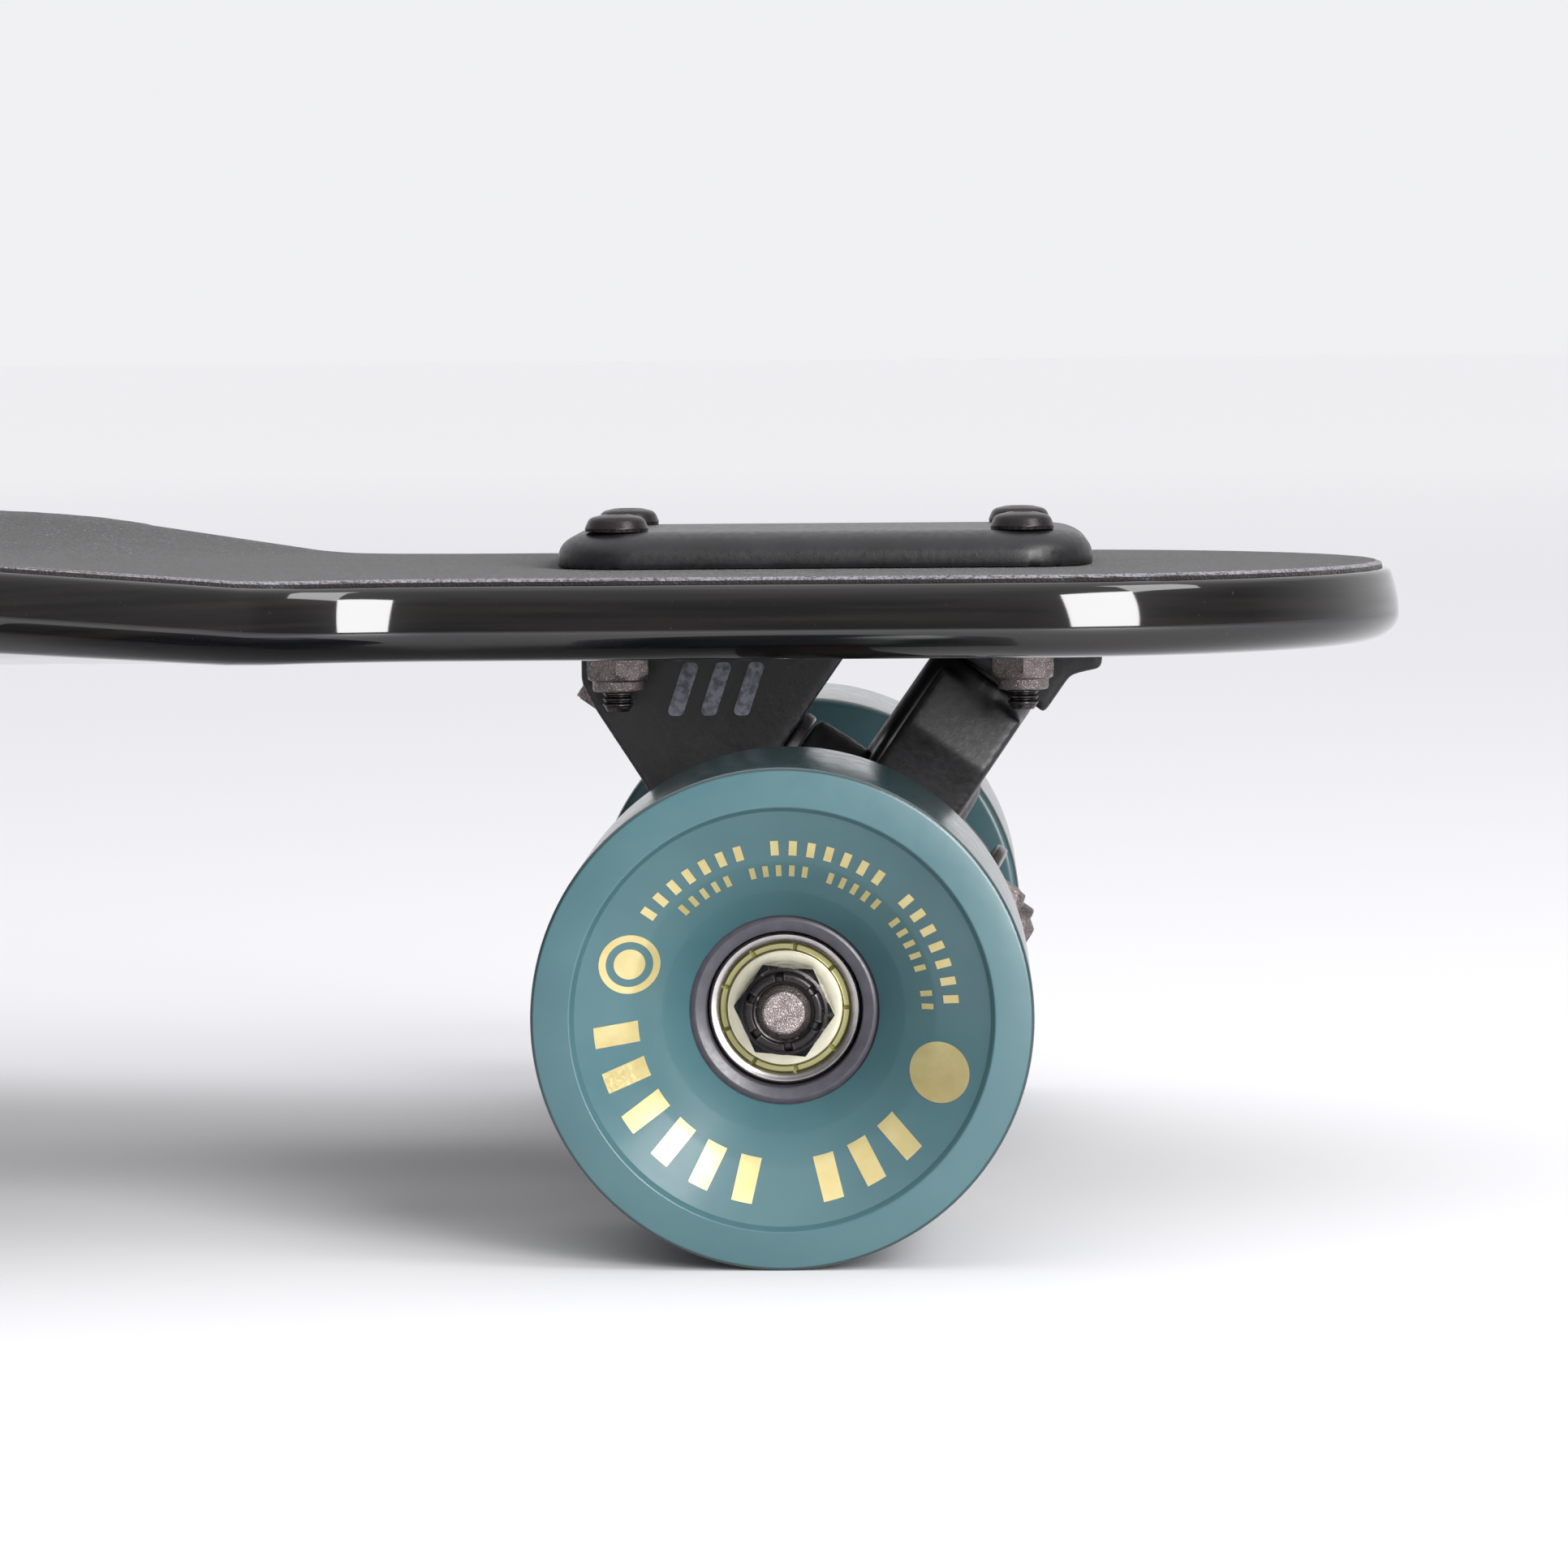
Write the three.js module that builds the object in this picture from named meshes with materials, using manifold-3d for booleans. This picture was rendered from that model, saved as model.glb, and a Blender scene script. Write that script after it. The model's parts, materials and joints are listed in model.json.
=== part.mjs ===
// Drop-through longboard skateboard, built as its separate pieces.
// Millimetres, +Z up. The nose points along +X, the axles run along Y, and Z = 0 is the ground.
// The origin is on the ground below the middle of the board, which is alike at both ends.
import * as THREE from "three";
import { mergeVertices } from "three/addons/utils/BufferGeometryUtils.js";
import Module from "manifold-3d";

const wasm = await Module();
wasm.setup();

// ---------------------------------------------------------------- driving dimensions
const gap = 0.3; // clearance between pieces that touch
const rad = Math.PI / 180;

const wheelRadius = 36;
const board = { length: 1000, axleToTip: 95.7, neckHalf: 66, platformHalf: 127, middleHalf: 124 };
const axleX = board.length / 2 - board.axleToTip;

// Heights above the axle centre.
const deckBottom = 48.5;
const deckThickness = 11.5;
const gripThickness = 0.8;
const deckTop = deckBottom + deckThickness;
const gripTop = deckTop + gap + gripThickness;
const flangeBottom = gripTop + gap;
const flangeThickness = 5.5;
const flangeTop = flangeBottom + flangeThickness;

// Outline of the deck beside a wheel, measured from the axle, outward positive.
const tipEllipseStart = 35;
const cutawayStart = -52;
const cutawayRadius = 40; // hollow curve beside the wheel
const shoulderRadius = 60; // round curve into the platform
const flareAngle = 45; // between the two curves, from the long axis
const railRise = 7.2; // how much the platform's rails stand above its middle
const railStart = 68; // the deck is flat inside this half width

// Truck: the steering axis passes through the axle and rises to the tip at this angle.
const steeringAngle = 55;
const boltCentreX = 4; // middle of the bolt pattern, outward of the axle
const boltPitch = { along: 63.5, across: 41.3 };
const flange = { inner: -37.2, outer: 46.8, half: 29, corner: 12 };
const slot = { inner: -34.2, outer: 44.6, half: 14.6, corner: 1 };
const towerHalf = 14;
const housingHalf = 11;

// Along the steering axis (up) from the axle.
const kingpinUp = 20;
const noseShoulderUp = 52.5;
const noseTipUp = 61.6;
const cupBottomUp = 63.5;
// Along the kingpin (outward and down) from the steering axis.
const seatAt = -20.5;
const kingpin = { radius: 4.76, headAt: -52, headHeight: 6, end: 29.4, headAcross: 14.3 };
const washer = { thickness: 2, radius: 11.5 };
const bushingRadius = 12;
const web = { top: -3, bottom: 3.3, hole: 8 };
const slab = { top: -8.1, bottom: 9.9 };
const kingpinNut = { across: 14.3, height: 8.6 };

const hangerHalf = 81.2;
const axle = { radius: 4, half: 114.3 };
const lip = { outer: 124, inner: 70 };
const core = { radius: 13.5, outer: 108.4, inner: 80.6, bore: 8.6 };
const bearing = { radius: 11, width: 7, outerFace: 106.2, innerFace: 82 };
const axleNut = { across: 12.7, from: 107.4, to: 113.5 };
const bolt = { radius: 2.4, hole: 3, headRadius: 5, headHeight: 2.7, tip: 38.7 };
const lockNut = { across: 9.5, height: 6.4 };

// ---------------------------------------------------------------- materials
const finish = (color, roughness, metalness) =>
  new THREE.MeshStandardMaterial({ color, roughness, metalness });
const materials = {
  deck: finish(0x121213, 0.2, 0),
  griptape: finish(0x2a2a2c, 0.95, 0),
  truck: finish(0x1c1c1e, 0.45, 0.3),
  urethane: finish(0x2f6a68, 0.35, 0),
  core: finish(0x3a3840, 0.4, 0),
  bushing: finish(0x151516, 0.5, 0),
  steel: finish(0x9a9698, 0.3, 1),
  blackSteel: finish(0x262426, 0.35, 0.8),
  bearing: finish(0xb8b29a, 0.3, 0.9),
};

// ---------------------------------------------------------------- solids
function solidOf(geometry) {
  const bare = geometry.clone();
  bare.deleteAttribute("normal");
  bare.deleteAttribute("uv");
  const merged = mergeVertices(bare, 1e-4);
  return new wasm.Manifold(
    new wasm.Mesh({
      numProp: 3,
      vertProperties: new Float32Array(merged.attributes.position.array),
      triVerts: new Uint32Array(merged.index.array),
    }),
  );
}

function geometryOf(solid) {
  const mesh = solid.getMesh();
  const geometry = new THREE.BufferGeometry();
  geometry.setAttribute("position", new THREE.BufferAttribute(mesh.vertProperties, 3));
  geometry.setIndex(new THREE.BufferAttribute(mesh.triVerts, 1));
  geometry.computeVertexNormals();
  return geometry;
}

// Joins the first list of geometries and cuts the second list away.
function carve(added, removed) {
  let solid = added.map(solidOf).reduce((whole, next) => whole.add(next));
  for (const tool of removed) {
    solid = solid.subtract(solidOf(tool));
  }
  return geometryOf(solid);
}

// A turned piece: profile points are [radius, place along the axis], anticlockwise.
function turned(profile, segments, axis = "y") {
  const points = profile.map(([radius, along]) => new THREE.Vector2(radius, along));
  const geometry = new THREE.LatheGeometry(points, segments);
  if (axis === "x") geometry.rotateZ(-Math.PI / 2);
  if (axis === "z") geometry.rotateX(Math.PI / 2);
  return geometry;
}

function rod(radius, from, to, segments, axis) {
  return turned([[0, from], [radius, from], [radius, to], [0, to]], segments, axis);
}

function tube(inner, outer, from, to, segments, axis) {
  const profile = [[inner, from], [outer, from], [outer, to], [inner, to], [inner, from]];
  return turned(profile, segments, axis);
}

// A hexagonal prism along Z with a round hole, or solid where the hole is 0.
function hexPrism(across, hole, from, to) {
  const corner = across / 2 / Math.cos(30 * rad);
  const shape = new THREE.Shape();
  for (let i = 0; i < 6; i += 1) {
    const angle = (i * 60 + 30) * rad;
    const point = [corner * Math.cos(angle), corner * Math.sin(angle)];
    if (i === 0) shape.moveTo(...point);
    else shape.lineTo(...point);
  }
  shape.closePath();
  if (hole > 0) {
    const circle = new THREE.Path();
    circle.absarc(0, 0, hole, 0, 2 * Math.PI, true);
    shape.holes.push(circle);
  }
  const options = { depth: to - from, bevelEnabled: false, curveSegments: 6 };
  return new THREE.ExtrudeGeometry(shape, options).translate(0, 0, from);
}

// A plate of rounded rectangular outline, from z = from to z = to.
function roundedPlate(x0, x1, half, corner, from, to) {
  const shape = new THREE.Shape();
  shape.moveTo(x0 + corner, -half);
  shape.lineTo(x1 - corner, -half);
  shape.absarc(x1 - corner, -half + corner, corner, -Math.PI / 2, 0, false);
  shape.absarc(x1 - corner, half - corner, corner, 0, Math.PI / 2, false);
  shape.absarc(x0 + corner, half - corner, corner, Math.PI / 2, Math.PI, false);
  shape.absarc(x0 + corner, -half + corner, corner, Math.PI, 1.5 * Math.PI, false);
  const options = { depth: to - from, bevelEnabled: false, curveSegments: 3 };
  return new THREE.ExtrudeGeometry(shape, options).translate(0, 0, from);
}

// A side outline in X and Z, extruded across the board.
function sidePlate(outline, half) {
  const shape = new THREE.Shape(outline.map(([x, z]) => new THREE.Vector2(x, z)));
  const options = { depth: 2 * half, bevelEnabled: false };
  return new THREE.ExtrudeGeometry(shape, options).rotateX(Math.PI / 2).translate(0, half, 0);
}

// ---------------------------------------------------------------- frames
// The steering frame: its X runs along the kingpin, outward and down, and its Z up the steering axis.
const tilt = (90 - steeringAngle) * rad;
const tilted = (geometry) => geometry.rotateY(tilt);

// A point of the truck's side view from its place up the steering axis and along the kingpin.
function sidePoint(up, along) {
  const cos = Math.cos(tilt);
  const sin = Math.sin(tilt);
  return [along * cos + up * sin, up * cos - along * sin];
}

// The four bolts of a truck, from the axle.
function boltPlaces() {
  const places = [];
  for (const [alongName, along] of [["outer", 1], ["inner", -1]]) {
    for (const [sideName, side] of [["right", -1], ["left", 1]]) {
      const x = boltCentreX + (along * boltPitch.along) / 2;
      places.push({ name: `${alongName}_${sideName}`, x, y: (side * boltPitch.across) / 2 });
    }
  }
  return places;
}

// ---------------------------------------------------------------- deck and griptape
// A quarter of the outline, from the tip to the middle of the board, as [x, half width].
function quarterOutline() {
  const points = [];
  const arc = (centreX, centreHalf, radiusX, radiusHalf, from, to, steps) => {
    for (let i = 0; i < steps; i += 1) {
      const angle = (from + ((to - from) * i) / steps) * rad;
      const x = axleX + centreX + radiusX * Math.cos(angle);
      points.push([x, centreHalf + radiusHalf * Math.sin(angle)]);
    }
  };
  const { neckHalf, platformHalf, middleHalf, axleToTip } = board;
  arc(tipEllipseStart, 0, axleToTip - tipEllipseStart, neckHalf, 0, 90, 8);
  points.push([axleX + tipEllipseStart, neckHalf]);
  arc(cutawayStart, neckHalf + cutawayRadius, cutawayRadius, cutawayRadius, 270, 270 - flareAngle, 3);
  const flare = flareAngle * rad;
  const curvesClimb = (cutawayRadius + shoulderRadius) * (1 - Math.cos(flare));
  const straightRun = (platformHalf - neckHalf - curvesClimb) / Math.tan(flare);
  const curvesRun = (cutawayRadius + shoulderRadius) * Math.sin(flare);
  const shoulderEnd = cutawayStart - curvesRun - straightRun;
  const shoulderHalf = platformHalf - shoulderRadius;
  const flareEnd = cutawayRadius * Math.sin(flare);
  const flareHalf = neckHalf + cutawayRadius * (1 - Math.cos(flare));
  points.push([axleX + cutawayStart - flareEnd, flareHalf]);
  arc(shoulderEnd, shoulderHalf, shoulderRadius, shoulderRadius, 90 - flareAngle, 90, 4);
  const platformEnd = axleX + shoulderEnd;
  for (let i = 0; i < 3; i += 1) {
    const x = platformEnd * (1 - i / 3);
    const narrowing = (platformHalf - middleHalf) * Math.cos((x / platformEnd) * 90 * rad);
    points.push([x, platformHalf - narrowing]);
  }
  return points;
}

// The whole outline, anticlockwise from the nose tip.
function wholeOutline() {
  const quarter = quarterOutline();
  const half = [...quarter, [0, board.middleHalf], ...quarter.map(([x, y]) => [-x, y]).reverse()];
  const back = half.slice(1, -1).map(([x, y]) => [x, -y]).reverse();
  return [...half, ...back];
}

// Height of the deck's surface above its flat middle, at a half width.
function riseAt(y) {
  const outward = Math.max(0, Math.abs(y) - railStart) / (board.platformHalf - railStart);
  return railRise * outward ** 1.4;
}

// The outline moved inward by an inset, or drawn in towards the long axis by a share of its width.
function ring({ inset = 0, share = 1, z }) {
  const outline = wholeOutline();
  const count = outline.length;
  return outline.map(([x, y], i) => {
    const before = outline[(i + count - 1) % count];
    const after = outline[(i + 1) % count];
    const run = [after[0] - before[0], after[1] - before[1]];
    const length = Math.hypot(...run);
    const px = (x - (inset * run[1]) / length) * (1 - 0.06 * (1 - share));
    const py = (y + (inset * run[0]) / length) * share;
    return [px, py, z + riseAt(py)];
  });
}

// A closed skin over a list of rings, from the top middle round the edge to the bottom middle.
// Each four-sided facet is split on its shorter diagonal, so that sheets that lie together stay parallel.
function skin(ringOptions) {
  const rings = ringOptions.map(ring);
  const count = rings[0].length;
  const positions = rings.flat(2);
  const index = [];
  const distance = (p, q) => Math.hypot(p[0] - q[0], p[1] - q[1], p[2] - q[2]);
  for (let r = 0; r + 1 < rings.length; r += 1) {
    for (let i = 0; i < count; i += 1) {
      const next = (i + 1) % count;
      const a = r * count + i;
      const b = r * count + next;
      const crossing = distance(rings[r][next], rings[r + 1][i]);
      const straight = distance(rings[r][i], rings[r + 1][next]);
      if (crossing < straight) index.push(a, a + count, b, b, a + count, b + count);
      else index.push(a, a + count, b + count, a, b + count, b);
    }
  }
  const cap = (start, flip) => {
    for (let i = 0; i < count / 2; i += 1) {
      const quad = [i, i + 1, (count - i - 1) % count, (count - i) % count].map((k) => start + k);
      const faces = [[quad[0], quad[1], quad[2]], [quad[0], quad[2], quad[3]]];
      for (const face of faces) {
        if (new Set(face).size === 3) index.push(...(flip ? face.reverse() : face));
      }
    }
  };
  cap(0, false);
  cap((rings.length - 1) * count, true);
  const geometry = new THREE.BufferGeometry();
  geometry.setAttribute("position", new THREE.Float32BufferAttribute(positions, 3));
  geometry.setIndex(index);
  return geometry;
}

// The truck slot and the bolt holes of one end, as cutting tools through the deck.
function deckOpenings(direction) {
  const from = deckBottom - 5;
  const to = gripTop + 5;
  const tools = [roundedPlate(slot.inner, slot.outer, slot.half, slot.corner, from, to)];
  for (const { x, y } of boltPlaces()) {
    tools.push(rod(bolt.hole, from, to, 8, "z").translate(x, y, 0));
  }
  for (const tool of tools) {
    if (direction < 0) tool.rotateZ(Math.PI);
    tool.translate(direction * axleX, 0, 0);
  }
  return tools;
}

function deckGeometry() {
  const z = deckTop;
  const body = skin([
    { share: 0.5, z },
    { share: 0.8, z },
    { inset: 2, z },
    { z: z - 2.5 },
    { inset: 0.4, z: z - 7 },
    { inset: 2.4, z: z - 10.4 },
    { inset: 6, z: deckBottom },
    { share: 0.8, z: deckBottom },
    { share: 0.5, z: deckBottom },
  ]);
  return carve([body], [...deckOpenings(1), ...deckOpenings(-1)]);
}

function griptapeGeometry() {
  const low = deckTop + gap;
  const body = skin([
    { share: 0.5, z: gripTop },
    { share: 0.8, z: gripTop },
    { inset: 2.3, z: gripTop },
    { inset: 2, z: low },
    { share: 0.8, z: low },
    { share: 0.5, z: low },
  ]);
  return carve([body], [...deckOpenings(1), ...deckOpenings(-1)]);
}

// ---------------------------------------------------------------- truck
// The tower ends in the slanted seat of the bushing.
function towerOutline() {
  return [
    [slot.inner + gap, flangeBottom + 1],
    [slot.inner + gap, 43],
    [-31.6, 38.5],
    [-24.6, 27.7],
    [-18.4, 16.2],
    sidePoint(4.6, seatAt),
    sidePoint(46, seatAt),
    [12, 50.4],
    [12, flangeBottom + 1],
  ];
}

// The housing holds the pivot cup, round the steering axis, at the tip's side.
function housingOutline() {
  return [
    [10, flangeBottom + 1],
    [10, 50.4],
    sidePoint(53.2, -10.6),
    sidePoint(53.2, 10.6),
    sidePoint(60.5, 10.6),
    [48.4, 44.6],
    [48.4, deckBottom - gap],
    [slot.outer - gap, deckBottom - gap],
    [slot.outer - gap, flangeBottom + 1],
  ];
}

function baseplateGeometry() {
  const body = [
    roundedPlate(flange.inner, flange.outer, flange.half, flange.corner, flangeBottom, flangeTop),
    sidePlate(towerOutline(), towerHalf),
    sidePlate(housingOutline(), housingHalf),
  ];
  const cupHole = tilted(rod(8.5 + gap, 50, cupBottomUp + gap, 16, "z"));
  const kingpinHole = rod(kingpin.radius + gap, kingpin.headAt, seatAt + 5, 12, "x");
  const headPocket = rod(9, kingpin.headAt - 20, kingpin.headAt + kingpin.headHeight + gap, 12, "x");
  const tools = [cupHole];
  for (const tool of [kingpinHole, headPocket]) {
    tools.push(tilted(tool.translate(0, 0, kingpinUp)));
  }
  for (const { x, y } of boltPlaces()) {
    tools.push(rod(bolt.hole, 40, flangeTop + 5, 8, "z").translate(x, y, 0));
  }
  return carve(body, tools);
}

function pivotCupGeometry() {
  const profile = [
    [6.8, 53.4],
    [8.5, 53.4],
    [8.5, cupBottomUp],
    [0, cupBottomUp],
    [0, noseTipUp + gap],
    [4.6, noseTipUp + gap - 1.2],
    [6.8, noseTipUp + gap - 4],
    [6.8, 53.4],
  ];
  return turned(profile, 16, "z");
}

// The hanger lies in the plane of the steering axis and the axle, square to the kingpin.
function hangerGeometry() {
  const armEnd = hangerHalf - 3;
  const plan = [
    [armEnd, -7],
    [armEnd, 7],
    [52, 10],
    [19, 27],
    [11.5, 40],
    [9, 50],
  ];
  const shape = new THREE.Shape();
  shape.moveTo(-armEnd, -7);
  for (const [y, up] of plan) shape.lineTo(y, up);
  for (const [y, up] of plan.slice(1).reverse()) shape.lineTo(-y, up);
  const slabDepth = slab.bottom - slab.top - 2.4;
  const arms = new THREE.ExtrudeGeometry(shape, { depth: slabDepth, bevelEnabled: false });
  // Shape X becomes Y, shape Y becomes Z, and the depth runs along X.
  arms.rotateX(Math.PI / 2).rotateZ(Math.PI / 2).translate(slab.top + 1.2, 0, 0);
  const sleeve = turned(
    [[0, -hangerHalf], [8, -hangerHalf], [9.6, -60], [9.6, 60], [8, hangerHalf], [0, hangerHalf]],
    16,
  );
  const collar = rod(17, slab.top, slab.bottom, 20, "x").translate(0, 0, kingpinUp);
  const nose = turned(
    [
      [0, 30],
      [9, 30],
      [9, noseShoulderUp],
      [6.5, noseShoulderUp + 0.4],
      [6.5, noseTipUp - 4],
      [4.4, noseTipUp - 1.2],
      [0, noseTipUp],
    ],
    16,
    "z",
  );
  const seats = [
    rod(bushingRadius + gap, slab.top - 5, web.top, 20, "x"),
    rod(bushingRadius + gap, web.bottom, slab.bottom + 5, 20, "x"),
    rod(web.hole, web.top - 1, web.bottom + 1, 12, "x"),
  ];
  for (const seat of seats) seat.translate(0, 0, kingpinUp);
  const bore = rod(axle.radius + gap, -hangerHalf - 1, hangerHalf + 1, 12, "y");
  return carve([arms, sleeve, collar, nose], [...seats, bore]);
}

function kingpinGeometry() {
  const head = hexPrism(kingpin.headAcross, 0, kingpin.headAt, kingpin.headAt + kingpin.headHeight);
  head.rotateY(Math.PI / 2);
  const shank = rod(kingpin.radius, kingpin.headAt + 1, kingpin.end, 12, "x");
  return carve([head, shank], []);
}

function bushingGeometry(from, to, farRadius) {
  const hole = kingpin.radius + gap;
  const middle = (from + to) / 2;
  const profile = [
    [hole, from],
    [bushingRadius, from],
    [bushingRadius, middle],
    [farRadius, to],
    [hole, to],
    [hole, from],
  ];
  return turned(profile, 16, "x");
}

// ---------------------------------------------------------------- wheel
// Wheel pieces are built about Y, with the side away from the truck at the larger Y.
const wheelSegments = 36;
const aroundFlats = 1 / Math.cos(Math.PI / wheelSegments);

function tyreGeometry() {
  const bore = core.radius + gap;
  const profile = [
    [bore, core.inner],
    [20, lip.inner + 6],
    [29.6, lip.inner + 0.6],
    [35.2, lip.inner],
    [wheelRadius, lip.inner + 0.8],
    [wheelRadius, lip.outer - 0.5],
    [35.5, lip.outer],
    [30.3, lip.outer + 0.7],
    [29.8, lip.outer - 0.4],
    [22, lip.outer - 6.4],
    [bore, core.outer + 1],
    [bore, core.inner],
  ];
  const scaled = profile.map(([radius, y]) => [radius * aroundFlats, y]);
  return turned(scaled, wheelSegments).rotateY(Math.PI / wheelSegments);
}

function coreGeometry() {
  const seat = bearing.radius + gap;
  const innerSeatEnd = bearing.innerFace + bearing.width + gap;
  const outerSeatStart = bearing.outerFace - bearing.width - gap;
  const profile = [
    [seat, core.inner],
    [core.radius, core.inner],
    [core.radius, core.outer],
    [seat, core.outer],
    [seat, outerSeatStart],
    [core.bore, outerSeatStart],
    [core.bore, innerSeatEnd],
    [seat, innerSeatEnd],
    [seat, core.inner],
  ];
  return turned(profile, 22);
}

// ---------------------------------------------------------------- assembly
const skateboard = new THREE.Group();

function place(parent, name, geometry, material) {
  const mesh = new THREE.Mesh(geometry, material);
  mesh.name = name;
  parent.add(mesh);
  return mesh;
}

function addWheel(truck, prefix, direction) {
  const wheel = new THREE.Group();
  if (direction < 0) wheel.rotation.z = Math.PI;
  truck.add(wheel);
  place(wheel, `${prefix}_tyre`, tyreGeometry(), materials.urethane);
  place(wheel, `${prefix}_core`, coreGeometry(), materials.core);
  const bore = axle.radius + gap;
  const outer = [bearing.outerFace - bearing.width, bearing.outerFace];
  const inner = [bearing.innerFace, bearing.innerFace + bearing.width];
  for (const [name, [from, to]] of [["outer", outer], ["inner", inner]]) {
    const ringGeometry = tube(bore, bearing.radius, from, to, 16, "y");
    place(wheel, `${prefix}_${name}_bearing`, ringGeometry, materials.bearing);
  }
  const nut = hexPrism(axleNut.across, bore, axleNut.from, axleNut.to).rotateX(-Math.PI / 2);
  place(wheel, `${prefix}_axle_nut`, nut, materials.blackSteel);
}

function addTruck(end, direction) {
  const truck = new THREE.Group();
  truck.position.set(direction * axleX, 0, wheelRadius);
  if (direction < 0) truck.rotation.z = Math.PI;
  skateboard.add(truck);

  place(truck, `${end}_baseplate`, baseplateGeometry(), materials.truck);
  place(truck, `${end}_axle`, rod(axle.radius, -axle.half, axle.half, 12, "y"), materials.steel);

  const steering = new THREE.Group();
  steering.rotation.y = tilt;
  truck.add(steering);
  place(steering, `${end}_hanger`, hangerGeometry(), materials.truck);
  place(steering, `${end}_pivot_cup`, pivotCupGeometry(), materials.bushing);

  const pin = new THREE.Group();
  pin.position.z = kingpinUp;
  steering.add(pin);
  const hole = kingpin.radius + gap;
  const boardWasher = seatAt + gap;
  const boardBushing = boardWasher + washer.thickness + gap;
  const roadBushing = web.bottom + gap;
  const roadWasher = roadBushing + 13 + gap;
  const nutStart = roadWasher + washer.thickness + gap;
  place(pin, `${end}_kingpin`, kingpinGeometry(), materials.steel);
  for (const [side, from] of [["boardside", boardWasher], ["roadside", roadWasher]]) {
    const plate = tube(hole, washer.radius, from, from + washer.thickness, 16, "x");
    place(pin, `${end}_${side}_washer`, plate, materials.steel);
  }
  const upper = bushingGeometry(boardBushing, web.top - gap, bushingRadius);
  place(pin, `${end}_boardside_bushing`, upper, materials.bushing);
  const lower = bushingGeometry(roadBushing, roadWasher - gap, 10);
  place(pin, `${end}_roadside_bushing`, lower, materials.bushing);
  const nut = hexPrism(kingpinNut.across, hole, nutStart, nutStart + kingpinNut.height);
  place(pin, `${end}_kingpin_nut`, nut.rotateY(Math.PI / 2), materials.steel);

  for (const { name, x, y } of boltPlaces()) {
    const head = flangeTop + gap;
    const profile = [
      [0, bolt.tip],
      [bolt.radius, bolt.tip],
      [bolt.radius, head],
      [bolt.headRadius, head],
      [bolt.headRadius - 0.3, head + bolt.headHeight * 0.4],
      [bolt.headRadius * 0.6, head + bolt.headHeight * 0.9],
      [0, head + bolt.headHeight],
    ];
    place(truck, `${end}_bolt_${name}`, turned(profile, 8, "z"), materials.blackSteel)
      .position.set(x, y, 0);
    const top = deckBottom - gap;
    const lockNutGeometry = hexPrism(lockNut.across, bolt.radius + gap, top - lockNut.height, top);
    place(truck, `${end}_lock_nut_${name}`, lockNutGeometry, materials.steel).position.set(x, y, 0);
  }

  // In the truck's own frame left and right change places at the rear.
  for (const side of [-1, 1]) {
    const sideName = side * direction < 0 ? "right" : "left";
    addWheel(truck, `${end}_${sideName}`, side);
  }
}

const wood = place(skateboard, "deck", deckGeometry(), materials.deck);
const grip = place(skateboard, "griptape", griptapeGeometry(), materials.griptape);
wood.position.z = wheelRadius;
grip.position.z = wheelRadius;
addTruck("front", 1);
addTruck("rear", -1);

export default skateboard;
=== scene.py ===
import json
import math

import bpy
from mathutils import Matrix, Vector, noise


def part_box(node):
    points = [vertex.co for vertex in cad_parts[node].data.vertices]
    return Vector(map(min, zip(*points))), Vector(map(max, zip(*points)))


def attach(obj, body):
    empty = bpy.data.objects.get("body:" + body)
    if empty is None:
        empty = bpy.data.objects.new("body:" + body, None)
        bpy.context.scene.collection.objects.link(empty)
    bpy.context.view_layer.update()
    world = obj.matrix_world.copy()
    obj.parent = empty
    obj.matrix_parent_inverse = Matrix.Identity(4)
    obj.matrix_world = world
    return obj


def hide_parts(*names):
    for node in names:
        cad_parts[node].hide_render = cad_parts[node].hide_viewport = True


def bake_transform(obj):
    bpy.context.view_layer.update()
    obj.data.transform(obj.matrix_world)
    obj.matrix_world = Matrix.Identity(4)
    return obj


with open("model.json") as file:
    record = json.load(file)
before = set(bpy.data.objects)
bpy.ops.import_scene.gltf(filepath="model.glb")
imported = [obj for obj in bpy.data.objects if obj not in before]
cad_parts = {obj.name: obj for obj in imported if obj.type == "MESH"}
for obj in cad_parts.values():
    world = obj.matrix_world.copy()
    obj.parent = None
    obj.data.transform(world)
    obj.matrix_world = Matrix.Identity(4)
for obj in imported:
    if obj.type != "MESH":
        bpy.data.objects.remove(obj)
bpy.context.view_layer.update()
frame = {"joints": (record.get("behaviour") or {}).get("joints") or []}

MM = 0.001
QUARTER_ROUND_X = Matrix.Rotation(math.pi / 2, 4, "X")
ENDS = ("front", "rear")
SIDES = ("right", "left")
JOINTS = {joint["name"]: joint for joint in frame["joints"]}


# -------- driving dimensions
def reach(node, axis):
    """The lowest and highest place of a CAD node along an axis, in millimetres."""
    low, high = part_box(node)
    return low[axis] / MM, high[axis] / MM


AXLE = Vector(JOINTS["front_steer"]["pos_m"]) / MM
WHEEL_MIDDLE = abs(JOINTS["front_left_roll"]["pos_m"][1]) / MM
WHEEL_RADIUS = AXLE.z
STEERING_AXIS = Vector(JOINTS["front_steer"]["axis"])
TILT = math.atan2(STEERING_AXIS.x, STEERING_AXIS.z)

# Heights above the axle.
DECK_BOTTOM = reach("deck", 2)[0] - AXLE.z
DECK_TOP = DECK_BOTTOM + 11.5
GRIP_TOP = DECK_TOP + 1.1
FLANGE_BOTTOM = GRIP_TOP + 0.05
FLANGE_TOP = reach("front_baseplate", 2)[1] - AXLE.z

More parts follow.
